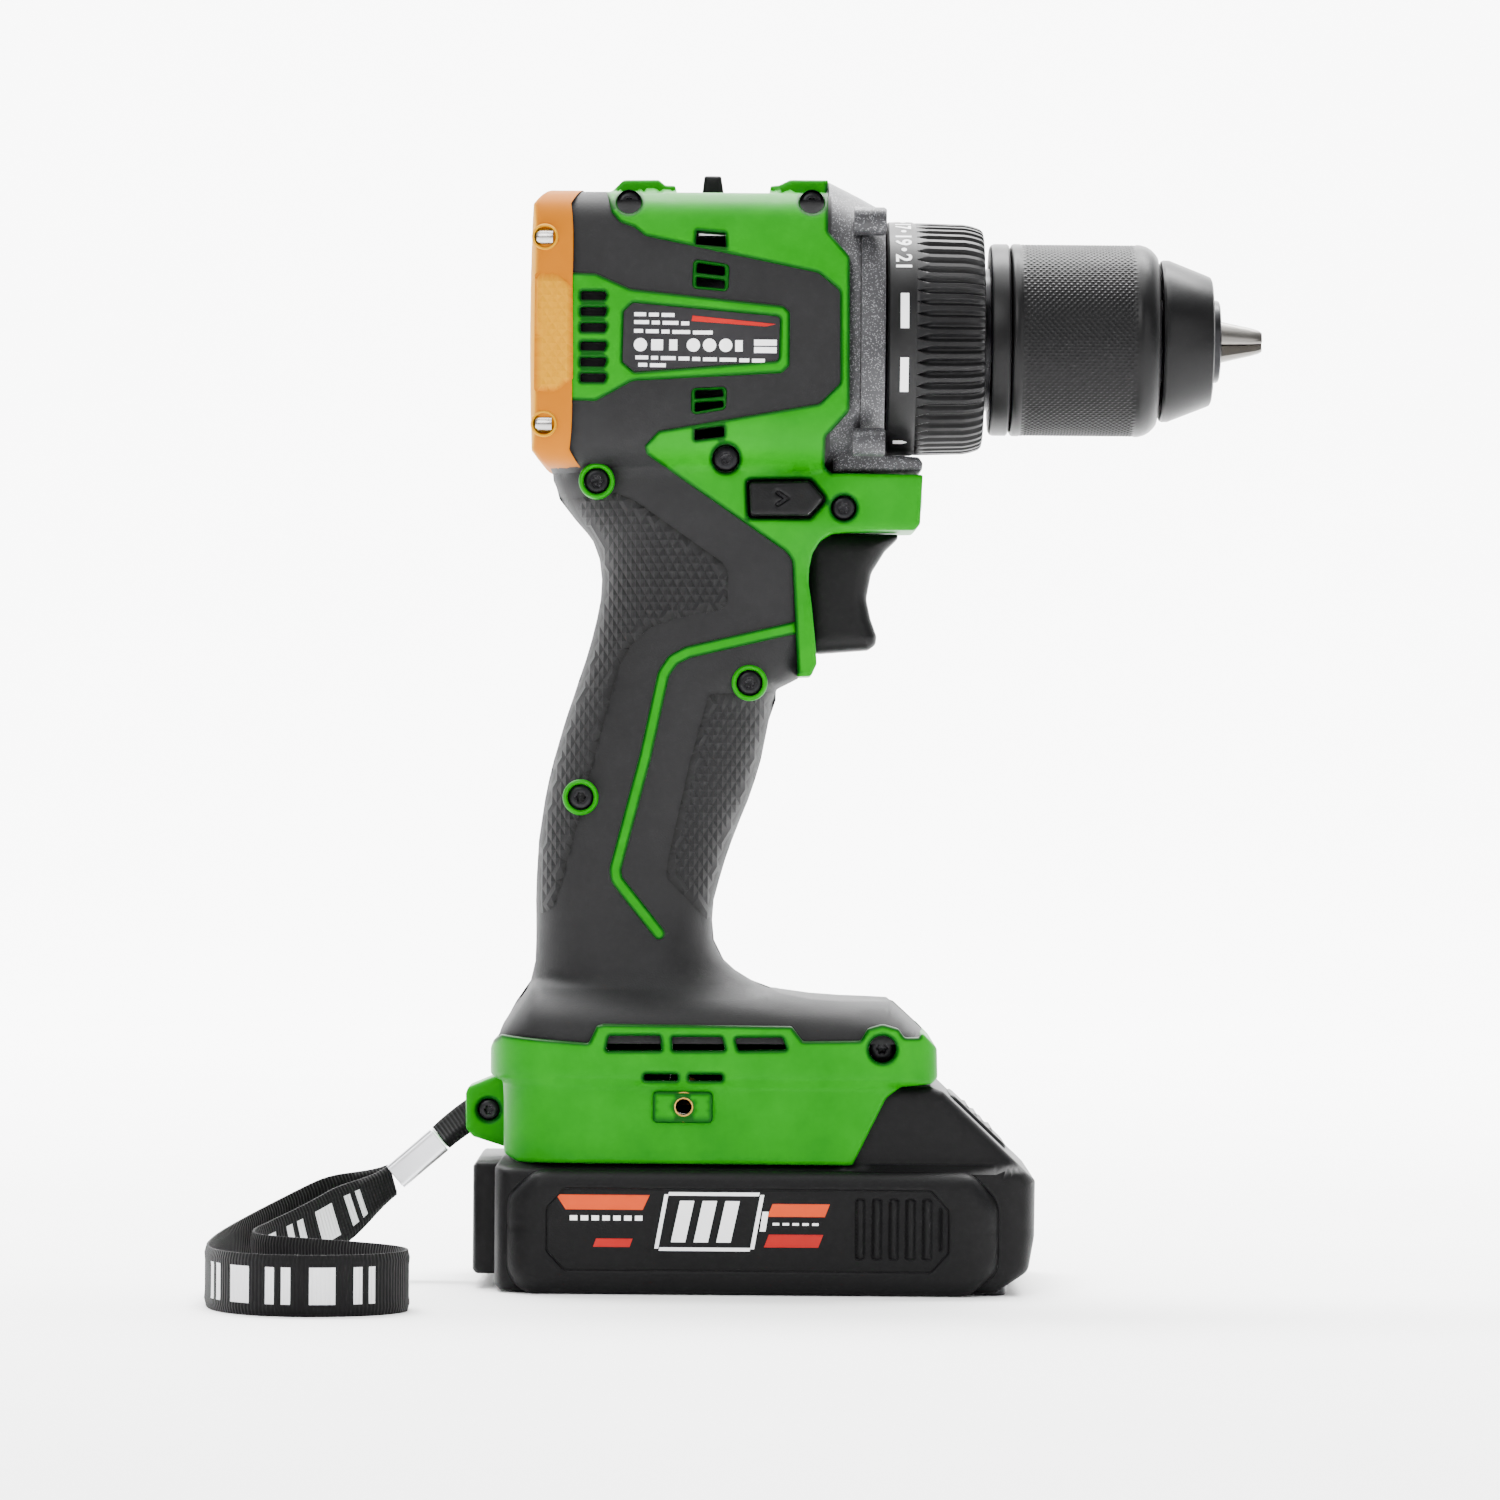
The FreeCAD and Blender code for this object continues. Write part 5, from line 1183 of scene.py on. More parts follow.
for side, word in SIDES:
    outline = rounded_path(BAND, 0.6)
    net = diamond_net(outline, *CAP_DIAMOND, 0.6)
    skin(f"cap_band_{word}", outline, *CAP_PLASTIC,
         level_at(CAP_HALF), lift=0.45, rim=0.6, round_rim=0.8, side=side,
         relief=diamonds(*CAP_DIAMOND, 0.3), net=net, depth=3.4, crease=14)
    for level, z in NOTCHES:
        wall = CAP_HALF * float(oval((z - CAP_MIDDLE) / CAP_TALL, HEAD_POWER)) + 0.5
        turned_boss(f"cap_notch_{level}_{word}", NOTCH_X, z, side,
                    [(2.7, wall - 3.5), (2.7, wall - 0.1), (2.5, wall + 0.15), (2.2, wall + 0.05),
                     (2.1, wall - 1.5)], *CAP_PLASTIC)
        rings = disc_rings(((-44.6, 0.9), (-44.3, 1.5), (-43.6, 1.8), (-41.0, 1.8)),
                           side * (wall - 1.3), z, 32)
        tube_rings(f"cap_bolt_{level}_{word}", rings, *ZINC_SCREW)

# --- Clutch collar and chuck ------------------------------------------------------------------

RIB_COUNT = 60
RIB_BACK = 33.6
RIB_DEEP = 0.85
BAR_ANGLES = (79.6, 111.2)
BAR_X, BAR_WIDE, BAR_LONG = 31.0, 1.7, 7.4


def collar_ribs(x, radius, angle):
    """Grooves between the collar's grip ribs, with pointed ends."""
    if radius < 20 or x < RIB_BACK:
        return 0.0
    phase = angle * RIB_COUNT / (2 * math.pi) % 1.0
    into = min(x - RIB_BACK, 2.4) / 2.4
    width = 0.30 * into
    off = abs(phase - 0.5)
    return RIB_DEEP * max(0.0, 1 - (off / max(width, 0.01)) ** 2) if off < width else 0.0


collar_profile = [(27.4, 15.4), (27.3, 23.4), (27.5, 24.0), (28.0, COLLAR_R), (32.8, COLLAR_R),
                  (33.1, 24.15), (33.5, 24.1)]
collar_profile += [(x, 24.15 - 0.25 * (x - 33.6) / 9.4) for x in np.arange(33.6, 43.0, 0.55)]
collar_profile += [(43.3, 23.9), (44.3, 23.75), (45.4, 23.5), (46.3, 23.2), (47.0, 22.9),
                   (47.5, 22.4), (47.7, 21.6), (47.7, 19.2), (47.0, 18.8), (46.6, 15.4)]
collar = lathe("collar_ribbed", collar_profile, "collar", "collar_plastic", COLLAR_DARK,
               segments=RIB_COUNT * 12, dent=collar_ribs, smooth=30)
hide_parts("torque_collar")


def on_collar(u, height, v):
    """Point on the collar's band: u along the drill, v round it from the top to the right."""
    radius = COLLAR_R + height
    angle = v / COLLAR_R
    return u, -radius * math.sin(angle), AXIS_Z + radius * math.cos(angle)


ARC = COLLAR_R * math.radians(1)
corners = [(i * BAR_WIDE / 2, j * 0.05) for i, j in ((-1, 1), (1, 1), (1, -1), (-1, -1))]
for number, angle in enumerate(BAR_ANGLES):
    middle = angle * ARC
    rings = [[on_collar(BAR_X + x, height, v) for x, height in corners]
             for v in np.linspace(middle - BAR_LONG / 2, middle + BAR_LONG / 2, 12)]
    tube_rings(f"collar_bar_{number + 1}", rings, "collar", "collar_plastic", WHITE_INK, 30)
# Dots between the numbers, and a drill bit's outline for the last setting.
NUMBERS = [str(number) for number in range(1, 22, 2)]
NUMBER_SIZE = 4.5
LAST_NUMBER, NUMBER_PITCH = 53.0, 17.0
dial = [round_marks(30.9, (LAST_NUMBER - NUMBER_PITCH * (k + 0.5)) * ARC, 0.55, 16)
        for k in range(len(NUMBERS))]
dial.append([(29.0, 153.0 * ARC), (30.9, 153.0 * ARC), (31.9, 154.6 * ARC),
             (30.9, 156.2 * ARC), (29.0, 156.2 * ARC)])
marks("collar_marks", dial, on_collar, "collar", WHITE_INK, 0.05)


def number_mark(text, angle, height):
    """A dial number printed on the collar's band."""
    writing = bpy.data.curves.new(f"number_{text}", "FONT")
    writing.body = text
    writing.size = height
    writing.extrude = 0.05
    writing.offset = 0.09
    writing.align_x = "CENTER"
    writing.resolution_u = 3
    holder = bpy.data.objects.new(f"number_{text}", writing)
    bpy.context.scene.collection.objects.link(holder)
    bpy.context.view_layer.update()
    mesh = bpy.data.meshes.new_from_object(holder)
    bpy.data.objects.remove(holder)
    vertices = [on_collar(29.3 + vertex.co.y, vertex.co.z, angle * ARC + vertex.co.x)
                for vertex in mesh.vertices]
    faces = [tuple(face.vertices) for face in mesh.polygons]
    bpy.data.meshes.remove(mesh)
    add_object(f"dial_{text}", vertices, faces, "collar", WHITE_INK, 30)


for index, text in enumerate(reversed(NUMBERS)):
    number_mark(text, LAST_NUMBER - NUMBER_PITCH * index, NUMBER_SIZE)


KNURL_COUNT = 96
KNURL_PITCH = 1.25


def sleeve_knurl(x, radius, angle):
    """Crossed grooves of the grip sleeve."""
    if x < 55.6 or x > 79.0 or radius < 19:
        return 0.0
    round_it = angle * KNURL_COUNT / (2 * math.pi)
    along = (x - 55.4) / KNURL_PITCH
    fade = min(1.0, (x - 55.4) / 0.8, (79.2 - x) / 0.8)
    u, v = (round_it + along) % 1.0, (round_it - along) % 1.0
    height = min(min(u, 1 - u), min(v, 1 - v)) * 2
    return 0.30 * (1 - height) * fade


sleeve_profile = [(53.3, 15.5), (53.3, 19.2), (53.6, 19.8), (54.0, SLEEVE_R), (55.3, SLEEVE_R),
                  (55.5, 19.85)]
sleeve_profile += [(x, 19.95) for x in np.arange(55.7, 79.0, 0.3125)]
sleeve_profile += [(79.2, 19.85), (79.5, SLEEVE_R), (80.4, 19.95), (81.6, 19.6), (82.6, 19.0),
                   (83.4, 18.2), (83.9, 17.5), (84.0, 17.0), (83.9, 14.0)]
sleeve = lathe("sleeve_knurled", sleeve_profile, "chuck_grip", "chuck_plastic", CHUCK_DARK,
               segments=768, dent=sleeve_knurl, smooth=45)
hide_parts("chuck_sleeve")
ring = lathe("chuck_ring", [(49.0, 12.0), (49.0, 19.2), (49.3, 19.7), (49.9, 19.95), (52.6, 19.95),
                            (53.0, 19.6), (53.1, 19.0), (53.1, 14.5)],
             *SPINDLE_PLASTIC, segments=160, smooth=30)
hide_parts("chuck_rear_ring")
nose = lathe("chuck_cone", [(84.5, 14.0), (84.5, 16.0), (84.7, 16.6), (85.2, 16.85), (86.4, 16.8),
                            (94.4, 13.65), (95.0, 13.35), (95.3, 12.8), (95.3, 8.9),
                            (94.0, 8.7)], *SPINDLE_PLASTIC, smooth=28)
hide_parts("chuck_nose")
neck = lathe("spindle_neck", [(45.8, 0.0), (45.8, 14.8), (49.4, 14.8), (49.4, 13.2), (84.3, 13.2),
                              (84.3, 12.4), (60.0, 12.4), (60.0, 0.0)],
             *SPINDLE_STEEL, segments=96, closed=False)
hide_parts("chuck_body")
lathe("chuck_face", [(84.2, 8.6), (96.4, 8.6), (96.8, 8.4), (97.0, 8.0), (97.0, 5.6),
                            (96.4, 5.0), (84.2, 5.0)], *SPINDLE_STEEL,
             segments=120, smooth=28)

# Jaws: three rods that lean in to the axis, their inner sides cut to wedges.
for index in range(3):
    turn = math.radians(120 * index + 60)
    outward = Vector((0, -math.sin(turn), math.cos(turn)))
    aside = Vector((0, math.cos(turn), math.sin(turn)))
    rings = []
    for x, reach, half in ((86.0, 6.3, 2.9), (92.0, 5.4, 2.9), (97.2, 4.45, 2.75),
                           (103.6, 2.95, 1.95), (105.2, 2.5, 1.6), (105.85, 2.1, 1.2)):
        ring_points = []
        for k in range(20):
            angle = math.pi * k / 19
            ring_points.append((x, half * math.cos(angle), 0.72 * reach
                                + (reach * 0.28) * math.sin(angle)))
        ring_points.append((x, -half * 0.62, half * 0.40))
        ring_points.append((x, -0.12, 0.16))
        ring_points.append((x, 0.12, 0.16))
        ring_points.append((x, half * 0.62, half * 0.40))
        rings.append([tuple(Vector((px, 0, 0)) + aside * py + outward * pz
                            + Vector((0, 0, AXIS_Z))) for px, py, pz in ring_points])
    jaw = tube_rings(f"jaw_tip_{index + 1}", rings, f"jaw_{index + 1}", "jaw_steel", JAW_STEEL, 30)
    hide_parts(f"jaw_{index + 1}")

# --- Trigger, selector and light --------------------------------------------------------------

TRIGGER = [(11.0, 155.8), (30.4, 155.6, 0.8), (30.3, 154.6, 0.8), (27.8, 152.2, 2.5),
           (24.9, 147.5, 4), (23.9, 142.1, 4), (24.8, 138.0, 2.0), (26.1, 134.4, 1.6),
           (25.9, 132.6, 1.4), (24.4, 131.5, 1.4), (14.4, 130.7, 1), (11.0, 131.0)]
trigger_half = span("trigger")[1][1]
for side, word in SIDES:
    made = skin(f"trigger_{word}", rounded_path(TRIGGER, 0.6), "trigger", "black_plastic", DARK,
                level_at(trigger_half), rim=3.0, round_rim=3.4, side=side,
                to_middle=everywhere, pitch=1.0, rows=(0.1, 0.35, 0.8, 1.4, 2.1, 2.9))
    if side == RIGHT:
        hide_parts("trigger")

knob_top = span("speed_selector")[1][2]
KNOB = [(-10.9, 225.2), (-10.4, knob_top, 0.5), (-6.9, knob_top, 0.5), (-6.2, 225.2)]
KNOB_PLATE = [(-15.6, 224.2), (-15.6, 225.3, 0.2), (-2.3, 225.3, 0.2), (-2.3, 224.2)]
for side, word in SIDES:
    made = skin(f"selector_{word}", rounded_path(KNOB, 0.4), *SELECTOR,
                level_at(5.4), rim=0.8, round_rim=0.9, side=side, to_middle=everywhere, pitch=0.8)
    skin(f"selector_plate_{word}", rounded_path(KNOB_PLATE, 0.6), *SELECTOR,
         level_at(8.0), rim=0.3, round_rim=0.3, side=side, to_middle=everywhere, pitch=1.0,
         rows=(0.1, 0.3))
    if side == RIGHT:
        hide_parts("speed_selector")

light_low, light_high = span("work_light")
light_middle = (light_low[2] + light_high[2]) / 2
rings = disc_rings(((30.0, 3.1), (34.6, 3.1), (35.1, 2.8), (35.4, 2.0), (35.5, 1.0)),
                   0.0, light_middle, 36)
light = tube_rings("light_lens", rings, "drill", "lens_clear", LENS, 50)
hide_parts("work_light")

# --- Battery ----------------------------------------------------------------------------------

PACK = [(-51.3, 1.6, 1.2), (-50.0, 0.4, 1.2), (50.2, 0.4, 2.0), (57.4, 5.0, 2.5),
        (58.7, 12.0, 4.0), (58.8, 23.4, 1.0), (39.9, 41.3, 1.5), (37.4, 42.3, 1.5),
        (18.0, 42.3, 1.5), (18.0, 26.0, 0.5), (-50.6, 26.0, 0.6), (-51.3, 25.2, 0.6)]
POD = [(-49.0, 0.0, 6.5), (45.0, 0.0, 6.0), (51.8, 5.2, 5.0), (51.8, 19.0, 6.0),
       (45.5, 25.2, 5.0), (-42.5, 25.2, 6.0), (-49.0, 20.0, 5.0)]
OCTAGON = [(-40.4, 9.0, 1), (-36.8, 5.0, 1), (37.3, 5.0, 1), (40.9, 9.0, 1), (40.9, 17.5, 1),
           (37.3, 21.5, 1), (-36.8, 21.5, 1), (-40.4, 17.5, 1)]
THUMB = [(21.6, 7.6, 0.8), (38.0, 7.6, 0.8), (39.7, 9.6, 0.8), (39.7, 17.8, 0.8),
         (38.0, 19.8, 0.8), (21.6, 19.8, 0.8)]
TAIL = [(-56.1, 3.8, 0.8), (-55.3, 3.0, 0.8), (-44.0, 3.0), (-44.0, 25.8), (-55.3, 25.8, 0.8),
        (-56.1, 25.0, 0.8)]
JOINT_Z = 13.7
LABEL_LEVEL = 36.25
PACK_SCREW_Y = 29.5


def seam(z):
    """Fine groove where the two case halves meet."""
    return 0.35 * np.clip(1 - np.abs(z - JOINT_Z) / 0.35, 0, 1)


def pack_width(x, z):
    """Half width of the case: the wedge at its front is narrower above the case's top."""
    front = plan_width(x, -51.5, 59.4, 33.5, 4, 6)
    wedge = np.minimum(front, 30.0)
    return wedge + (front - wedge) * (1 - step_up(z, 24.9, 26.4)) - seam(z)


def pod_width(x, z):
    """Half width of the bulge on the case's flank."""
    ends = np.minimum(step_up(x, -49.5, -42.0), step_up(-x, -52.5, -45.0))
    return 34.6 + 2.4 * ends ** 0.5 - seam(z)


def thumb_ribs(x, z):
    """Upright grip ribs on the thumb pad."""
    return 0.9 * np.clip(np.sin((x - 22.2) * 2 * np.pi / 3.4), -0.4, 0.8)


for side, word in SIDES:
    pack = skin(f"pack_{word}", rounded_path(PACK), *PACK_CASE,
                pack_width, rim=2.0, round_rim=2.4, side=side, to_middle=everywhere, pitch=2.0,
                rows=(0.12, 0.5, 1.1, 1.9, 2.8))
    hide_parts("battery_case_lower" if side == RIGHT else "battery_case_upper")
    skin(f"pod_{word}", rounded_path(POD), *PACK_CASE, pod_width,
         rim=3.2, round_rim=3.6, side=side, depth=8.0, pitch=1.8, holes=[rounded_path(OCTAGON)],
         rows=(0.12, 0.5, 1.1, 1.9, 2.8, 3.6), hole_depth=1.2, hole_rim=(0.5, 0.6))
    skin(f"pack_label_{word}", rounded_path(OCTAGON), "battery", "plate_label", BATTERY_DARK,
         level_at(LABEL_LEVEL), rim=0, side=side, depth=1.5, pitch=3.0, rows=(0.6,))
    skin(f"thumb_pad_{word}", rounded_path(THUMB, 0.6), *PACK_CASE,
         level_at(LABEL_LEVEL + 0.3), rim=0.5, round_rim=0.6, side=side, relief=thumb_ribs,
         depth=1.2, pitch=0.5, rows=(0.15, 0.4))
    skin(f"pack_tail_{word}", rounded_path(TAIL, 0.7), *PACK_CASE,
         lambda x, z: plan_width(x, -56.1, 60, 23.0, 2.0, 1) + 0 * z, rim=0.9, round_rim=1.0,
         side=side, to_middle=everywhere, pitch=1.5)

screws_low, screws_high = span("battery_screws")
pack_spots = [(x, y) for x in (screws_low[0] + 3.5, screws_high[0] - 5.5)
              for y in (-PACK_SCREW_Y, PACK_SCREW_Y)]
for number, (x, y) in enumerate(pack_spots):
    rings = disc_rings(((3.0, 2.4), (0.5, 2.4), (0.15, 2.1), (0.1, 1.2), (0.35, 1.1)), x, y, 32,
                       "z")
    screw = tube_rings(f"pack_screw_{number + 1}", rings, "battery", "screw_steel", SCREW_STEEL)
    if number == 0:
        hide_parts("battery_screws")

# Latch button on the front slope.
SLOPE_TOP, SLOPE_FOOT = Vector((39.9, 0, 41.3)), Vector((58.8, 0, 23.4))
slope = (SLOPE_FOOT - SLOPE_TOP).normalized()
outward = Vector((-slope.z, 0, slope.x))


def on_slope(u, height, v):
    """Point above the wedge's slope: u across the drill, v down the slope from its top."""
    return tuple(SLOPE_TOP + slope * v + outward * height + Vector((0, u, 0)))


LATCH_RIBS = (7.0, 9.2, 11.4, 13.6)


def latch_height(u, v):
    """Height of the button above the slope, with ribs across it."""
    ribs = sum(np.clip(1 - np.abs(v - at) / 0.55, 0, 1) for at in LATCH_RIBS)
    return 0.75 + 0.5 * ribs * (np.abs(u) < 10.5) + 0 * u


LATCH = [(-13.0, 2.6, 1.5), (13.0, 2.6, 1.5), (13.0, 18.4, 2.0), (-13.0, 18.4, 2.0)]
latch = skin("latch_button", rounded_path(LATCH, 0.7), "latch", "battery_plastic", DARK,
             latch_height, rim=0.6, round_rim=0.8, place=on_slope, depth=2.2, pitch=0.7)
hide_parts("battery_latch")


def on_pack(side):
    """Placing of prints on one flank's label."""
    return lambda u, height, v: (u, side * (LABEL_LEVEL + height), v)


for side, word in SIDES:
    place = on_pack(side)
    flip = 1 if side == RIGHT else -1
    chip = [(x * flip, z) for x, z in ((-36.6, 17.3), (-21.0, 17.3), (-19.6, 20.3), (-38.6, 20.3))]
    marks(f"pack_chip_{word}", [chip], place, "battery", ORANGE_INK)
    red = [box_marks(-27.0 * flip, 10.6, 7.4, 1.7, 0.3 * flip),
           box_marks(9.6 * flip, 11.2, 11.0, 2.6, 0.5 * flip)]
    marks(f"pack_red_{word}", red, place, "battery", RED_INK)
    orange = [box_marks(10.6 * flip, 17.4, 11.6, 2.6, 0.5 * flip)]
    marks(f"pack_orange_{word}", orange, place, "battery", ORANGE_INK)
    # A charge gauge: the outline of a cell with three bars.
    white = [box_marks(x * flip, 15.0, 2.9, 8.4, 0.9 * flip) for x in (-12.9, -8.3, -3.7)]
    white += [box_marks(-6.6 * flip, 20.6, 18.4, 0.7, 0.1 * flip),
              box_marks(-8.4 * flip, 9.4, 18.4, 0.7, 0.1 * flip),
              box_marks(-17.2 * flip, 15.0, 0.8, 11.0, 1.0 * flip),
              box_marks(2.2 * flip, 15.0, 0.8, 11.0, 1.0 * flip),
              box_marks(3.6 * flip, 15.1, 1.2, 4.0, 0.3 * flip)]
    white += [box_marks((-35.0 + k * 2.2) * flip, 15.6, 1.5, 1.0) for k in range(7)]
    white += [box_marks((6.0 + k * 2.0) * flip, 14.6, 1.3, 0.5) for k in range(5)]
    marks(f"pack_gauge_{word}", white, place, "battery", WHITE_INK)

    def on_plate(u, height, v, side=side):
        level = float(body_width(np.array([u]), np.array([v]))[0]) + 0.25
        return u, side * (level + height), v

    lines = []
    for z, start, widths in ((199.3, -24.3, (2.4, 2.0, 2.6)), (197.7, -24.3, (3.0, 1.6, 3.2, 1.6)),
                             (195.9, -24.3, (1.8, 2.6, 1.6, 3.6, 4.0)),
                             (190.5, -24.0, (2.6, 1.4, 3.0, 2.2, 1.6, 2.8, 3.4, 2.0, 2.6)),
                             (189.0, -23.4, (1.8, 3.2))):
        x = start
        for width in widths:
            lines.append(box_marks(x + width / 2, z - 0.02 * (x + 24), width, 0.75))
            x += width + 0.6
    lines += [round_marks(x, 193.1, 1.35) for x in (-23.0, -12.2, -8.9, -5.6)]
    lines += [box_marks(-19.6, 193.1, 2.4, 2.2), box_marks(-16.3, 193.1, 1.6, 2.2),
              box_marks(-2.9, 193.0, 1.5, 2.3), box_marks(2.5, 193.7, 4.6, 1.2),
              box_marks(2.5, 192.2, 4.6, 1.2)]
    marks(f"plate_print_{word}", lines, on_plate, "drill", WHITE_INK, 0.1)
    marks(f"plate_stripe_{word}", [[(-12.6, 198.0), (2.6, 197.0), (4.6, 197.5), (-12.4, 199.1)]],
          on_plate, "drill", RED_INK, 0.1)

# --- Wrist strap ------------------------------------------------------------------------------

ROUTE = [(-73.9, -2.2, 20.4), (-80.5, -9.0, 15.8), (-89.0, -17.5, 11.0), (-96.5, -25.5, 7.8),
         (-100.8, -34.0, 6.3), (-97.5, -42.0, 6.0), (-88.0, -48.5, 6.0), (-77.0, -56.5, 6.0),
         (-68.0, -66.0, 6.0), (-65.8, -77.5, 6.0), (-71.5, -86.5, 6.0), (-82.5, -91.0, 6.0),
         (-94.5, -89.5, 6.0), (-103.0, -81.5, 6.0), (-106.5, -69.5, 6.0), (-107.0, -55.5, 6.0),
         (-106.3, -41.5, 6.5), (-103.0, -28.0, 8.0), (-96.0, -16.0, 11.2), (-86.0, -5.5, 15.8),
         (-73.9, 2.2, 20.4)]
TETHER = [(-56.6, 0.0, 34.9), (-60.4, 0.0, 32.4), (-63.7, 0.0, 29.4)]
RIBBON_HALF = 6.0
RIBBON_THICK = 0.5


def curve_points(name, route):
    """Even points, in millimetres, along a NURBS curve with these control points."""
    curve = bpy.data.curves.new(name, "CURVE")
    curve.dimensions = "3D"
    spline = curve.splines.new("NURBS")
    spline.points.add(len(route) - 1)
    for point, (x, y, z) in zip(spline.points, route):
        point.co = (MM * x, MM * y, MM * z, 1)
    spline.order_u = 3
    spline.use_endpoint_u = True
    spline.resolution_u = 14
    holder = bpy.data.objects.new(name, curve)
    bpy.context.scene.collection.objects.link(holder)
    bpy.context.view_layer.update()
    mesh = bpy.data.meshes.new_from_object(holder)
    points = [tuple(vertex.co) for vertex in mesh.vertices]
    bpy.data.objects.remove(holder)
    bpy.data.meshes.remove(mesh)
    return points


def ribbon(name, path, half_at, body, material, thick=RIBBON_THICK, lean=None):
    """Flat ribbon along a path of metre points, standing on edge, with its own print data."""
    line = np.array(path) / MM
    ahead = np.gradient(line, axis=0)
    ahead /= np.linalg.norm(ahead, axis=1)[:, None]
    run = np.concatenate([[0], np.cumsum(np.linalg.norm(np.diff(line, axis=0), axis=1))])
    share = run / run[-1]
    across_count = 9
    vertices, along, over, face = [], [], [], []
    for i, (point, forward) in enumerate(zip(line, ahead)):
        up = np.array([0.0, 0.0, 1.0]) if lean is None else np.array(lean(share[i]), float)
        up = up - forward * (up @ forward)
        up /= np.linalg.norm(up)
        out = np.cross(forward, up)
        half = half_at(share[i])
        for sheet_side in (1, -1):
            order = range(across_count) if sheet_side > 0 else range(across_count - 1, -1, -1)
            for j in order:
                t = 2 * j / (across_count - 1) - 1
                # The selvedges are thicker, and the ribbon is faintly dished.
                full = thick * (1.0 if abs(t) < 0.95 else 0.45)
                ridge = 0.12 if 0.6 < abs(t) < 0.9 else 0.0
                spot = point + up * half * t + out * sheet_side * (full + ridge)
                vertices.append(tuple(spot))
                along.append(run[i])
                over.append(t)
                face.append(1.0 if sheet_side < 0 else 0.0)
    ring = 2 * across_count
    faces = ring_faces(len(line), ring)
    faces.append(tuple(range(ring)))
    faces.append(tuple((len(line) - 1) * ring + k for k in range(ring)))
    made = add_object(name, vertices, faces, body, material, 70, merge=False)
    for label, values in (("along", along), ("across", over), ("face", face)):
        data = made.data.attributes.new(label, "FLOAT", "POINT")
        data.data.foreach_set("value", values)
    return made


def strap_half(share):
    """Half width: the ends are folded to fit the ferrule."""
    end = min(share, 1 - share)
    return RIBBON_HALF - 2.7 * (1 - step_up(np.array([end]), 0.0, 0.07)[0])


strap_path = curve_points("strap_route", ROUTE)
strap = ribbon("strap_ribbon", strap_path, strap_half, "drill", WEBBING)
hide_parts("wrist_strap")
tether_path = curve_points("tether_route", TETHER)
tether = ribbon("tether_loop", tether_path, lambda share: 3.4, "drill", WEBBING,
                thick=1.3, lean=lambda share: (0.5, 0.4, 1.0))
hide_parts("strap_tether")

# Ferrule: a crimped box of bright sheet, open at both ends.
ferrule_start = Vector((-63.9, 0, 29.1))
ferrule_way = Vector((-0.757, 0, -0.653)).normalized()
ferrule_up = Vector((-0.653, 0, 0.757)).normalized()
rings = []
corner = rounded_path([(-3.4, -2.9, 0.9), (3.4, -2.9, 0.9), (3.4, 2.9, 0.9), (-3.4, 2.9, 0.9)], 0.5)
for along, size_by in ((0.3, 0.80), (0.0, 0.93), (0.15, 1.0), (6.0, 0.99), (11.95, 1.0),
                       (12.1, 0.93), (11.8, 0.80)):
    rings.append([tuple(ferrule_start + ferrule_way * along
                        + Vector((0, 1, 0)) * (y * size_by) + ferrule_up * (h * size_by))
                  for y, h in corner])
ferrule = tube_rings("ferrule", rings, "drill", "ferrule_chrome", CHROME, 35)
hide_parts("strap_ferrule")

strap_length = sum(math.dist(a, b) for a, b in zip(strap_path, strap_path[1:]))

# --- Stage ------------------------------------------------------------------------------------


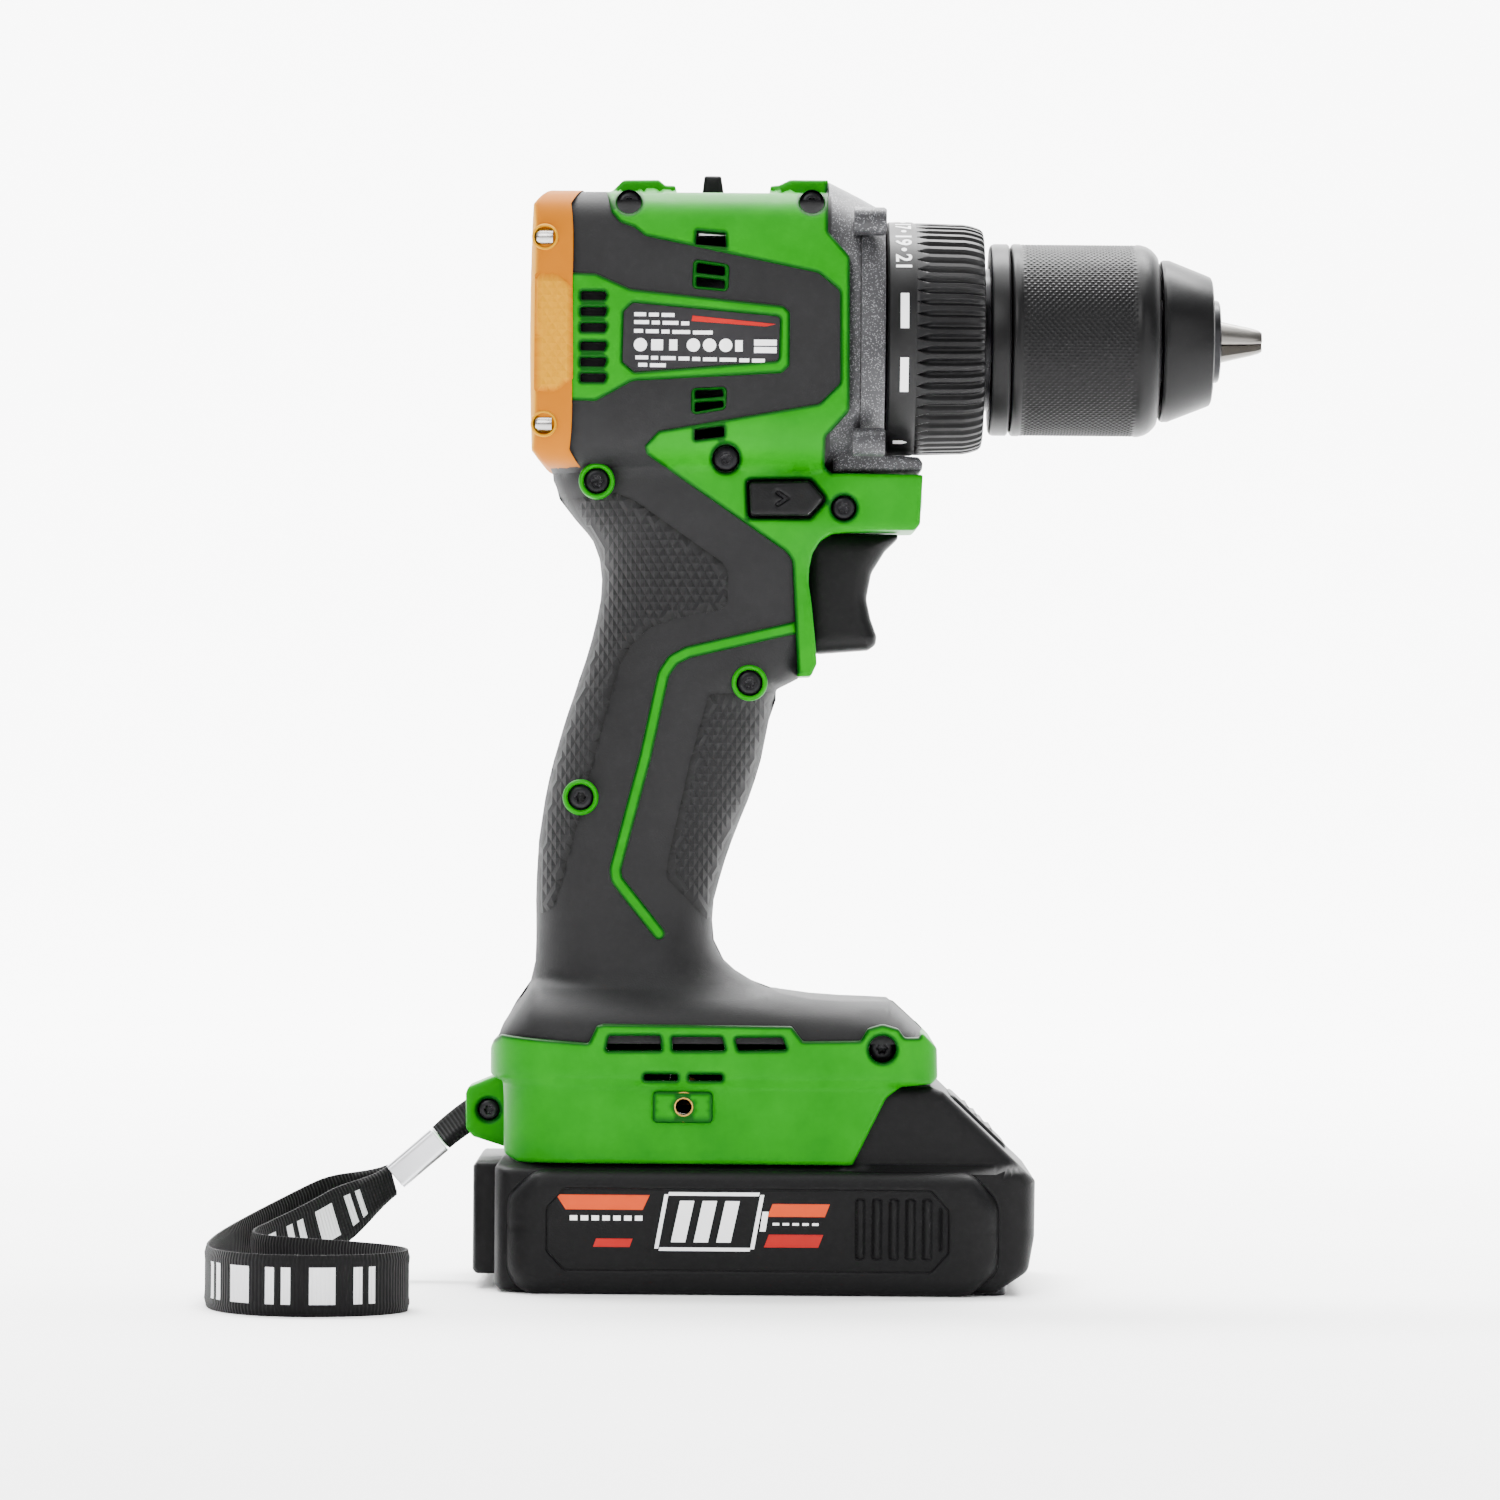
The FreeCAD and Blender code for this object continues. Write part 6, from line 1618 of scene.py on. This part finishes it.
def backdrop():
    """Pale floor that curves up behind the drill."""
    profile = [(-1.6, 0.0), (1.2, 0.0)]
    profile += [(1.2 + 0.9 * math.sin(a), 0.9 - 0.9 * math.cos(a))
                for a in np.linspace(0.1, math.pi / 2, 12)]
    profile.append((2.1, 3.2))
    vertices, faces = [], []
    for y, z in profile:
        vertices += [(-3.0, y, z), (3.0, y, z)]
    for i in range(len(profile) - 1):
        faces.append((2 * i, 2 * i + 1, 2 * i + 3, 2 * i + 2))
    mesh = bpy.data.meshes.new("backdrop")
    mesh.from_pydata(vertices, [], faces)
    thing = bpy.data.objects.new("backdrop", mesh)
    bpy.context.scene.collection.objects.link(thing)
    for polygon in mesh.polygons:
        polygon.use_smooth = True
    mesh.materials.append(surface("backdrop_paper", (0.91, 0.91, 0.91, 1), (0.94, 0.94, 0.94, 1),
                                  0.9, patch=6.0, grain=400.0, bump=0.01, specular=0.1))


backdrop()


def lamp(name, spot, target, size, power, shape="RECTANGLE", wide=None):
    """Soft area light that faces a point."""
    light = bpy.data.lights.new(name, "AREA")
    light.energy = power
    light.shape = shape
    light.size = size
    if shape == "RECTANGLE":
        light.size_y = wide or size
    holder = bpy.data.objects.new(name, light)
    bpy.context.scene.collection.objects.link(holder)
    holder.location = spot
    holder.rotation_euler = (Vector(target) - Vector(spot)).to_track_quat("-Z", "Y").to_euler()


MIDDLE = (0.0, 0.0, 0.11)
lamp("key", (-0.6, -1.5, 1.1), MIDDLE, 0.9, 26, wide=0.9)
lamp("fill", (1.0, -1.45, 0.5), MIDDLE, 0.9, 12, wide=1.1)
lamp("top", (0.0, -0.15, 1.7), MIDDLE, 1.5, 44, wide=1.2)
lamp("rear_left", (-1.3, 0.6, 0.6), MIDDLE, 0.8, 9, wide=1.2)
lamp("rear_right", (1.3, 0.6, 0.6), MIDDLE, 0.8, 9, wide=1.2)
lamp("wall", (0.0, 0.8, 2.1), (0.0, 2.0, 0.5), 2.2, 330, wide=1.0)
lamp("floor_far", (0.0, 1.0, 1.7), (0.0, 0.9, 0.0), 2.4, 60, wide=1.0)

world = bpy.data.worlds.new("studio")
world.use_nodes = True
world.node_tree.nodes["Background"].inputs[0].default_value = (1.0, 1.0, 1.0, 1.0)
world.node_tree.nodes["Background"].inputs[1].default_value = 0.32
bpy.context.scene.world = world

camera = bpy.data.cameras.new("camera")
camera.lens = 149.76
camera.sensor_width = 36.0
camera.clip_end = 20.0
viewer = bpy.data.objects.new("camera", camera)
viewer.location = (0.0, -1.3, 0.1106)
viewer.rotation_euler = (math.radians(90), math.radians(-0.45), 0.0)
bpy.context.scene.collection.objects.link(viewer)
bpy.context.scene.camera = viewer
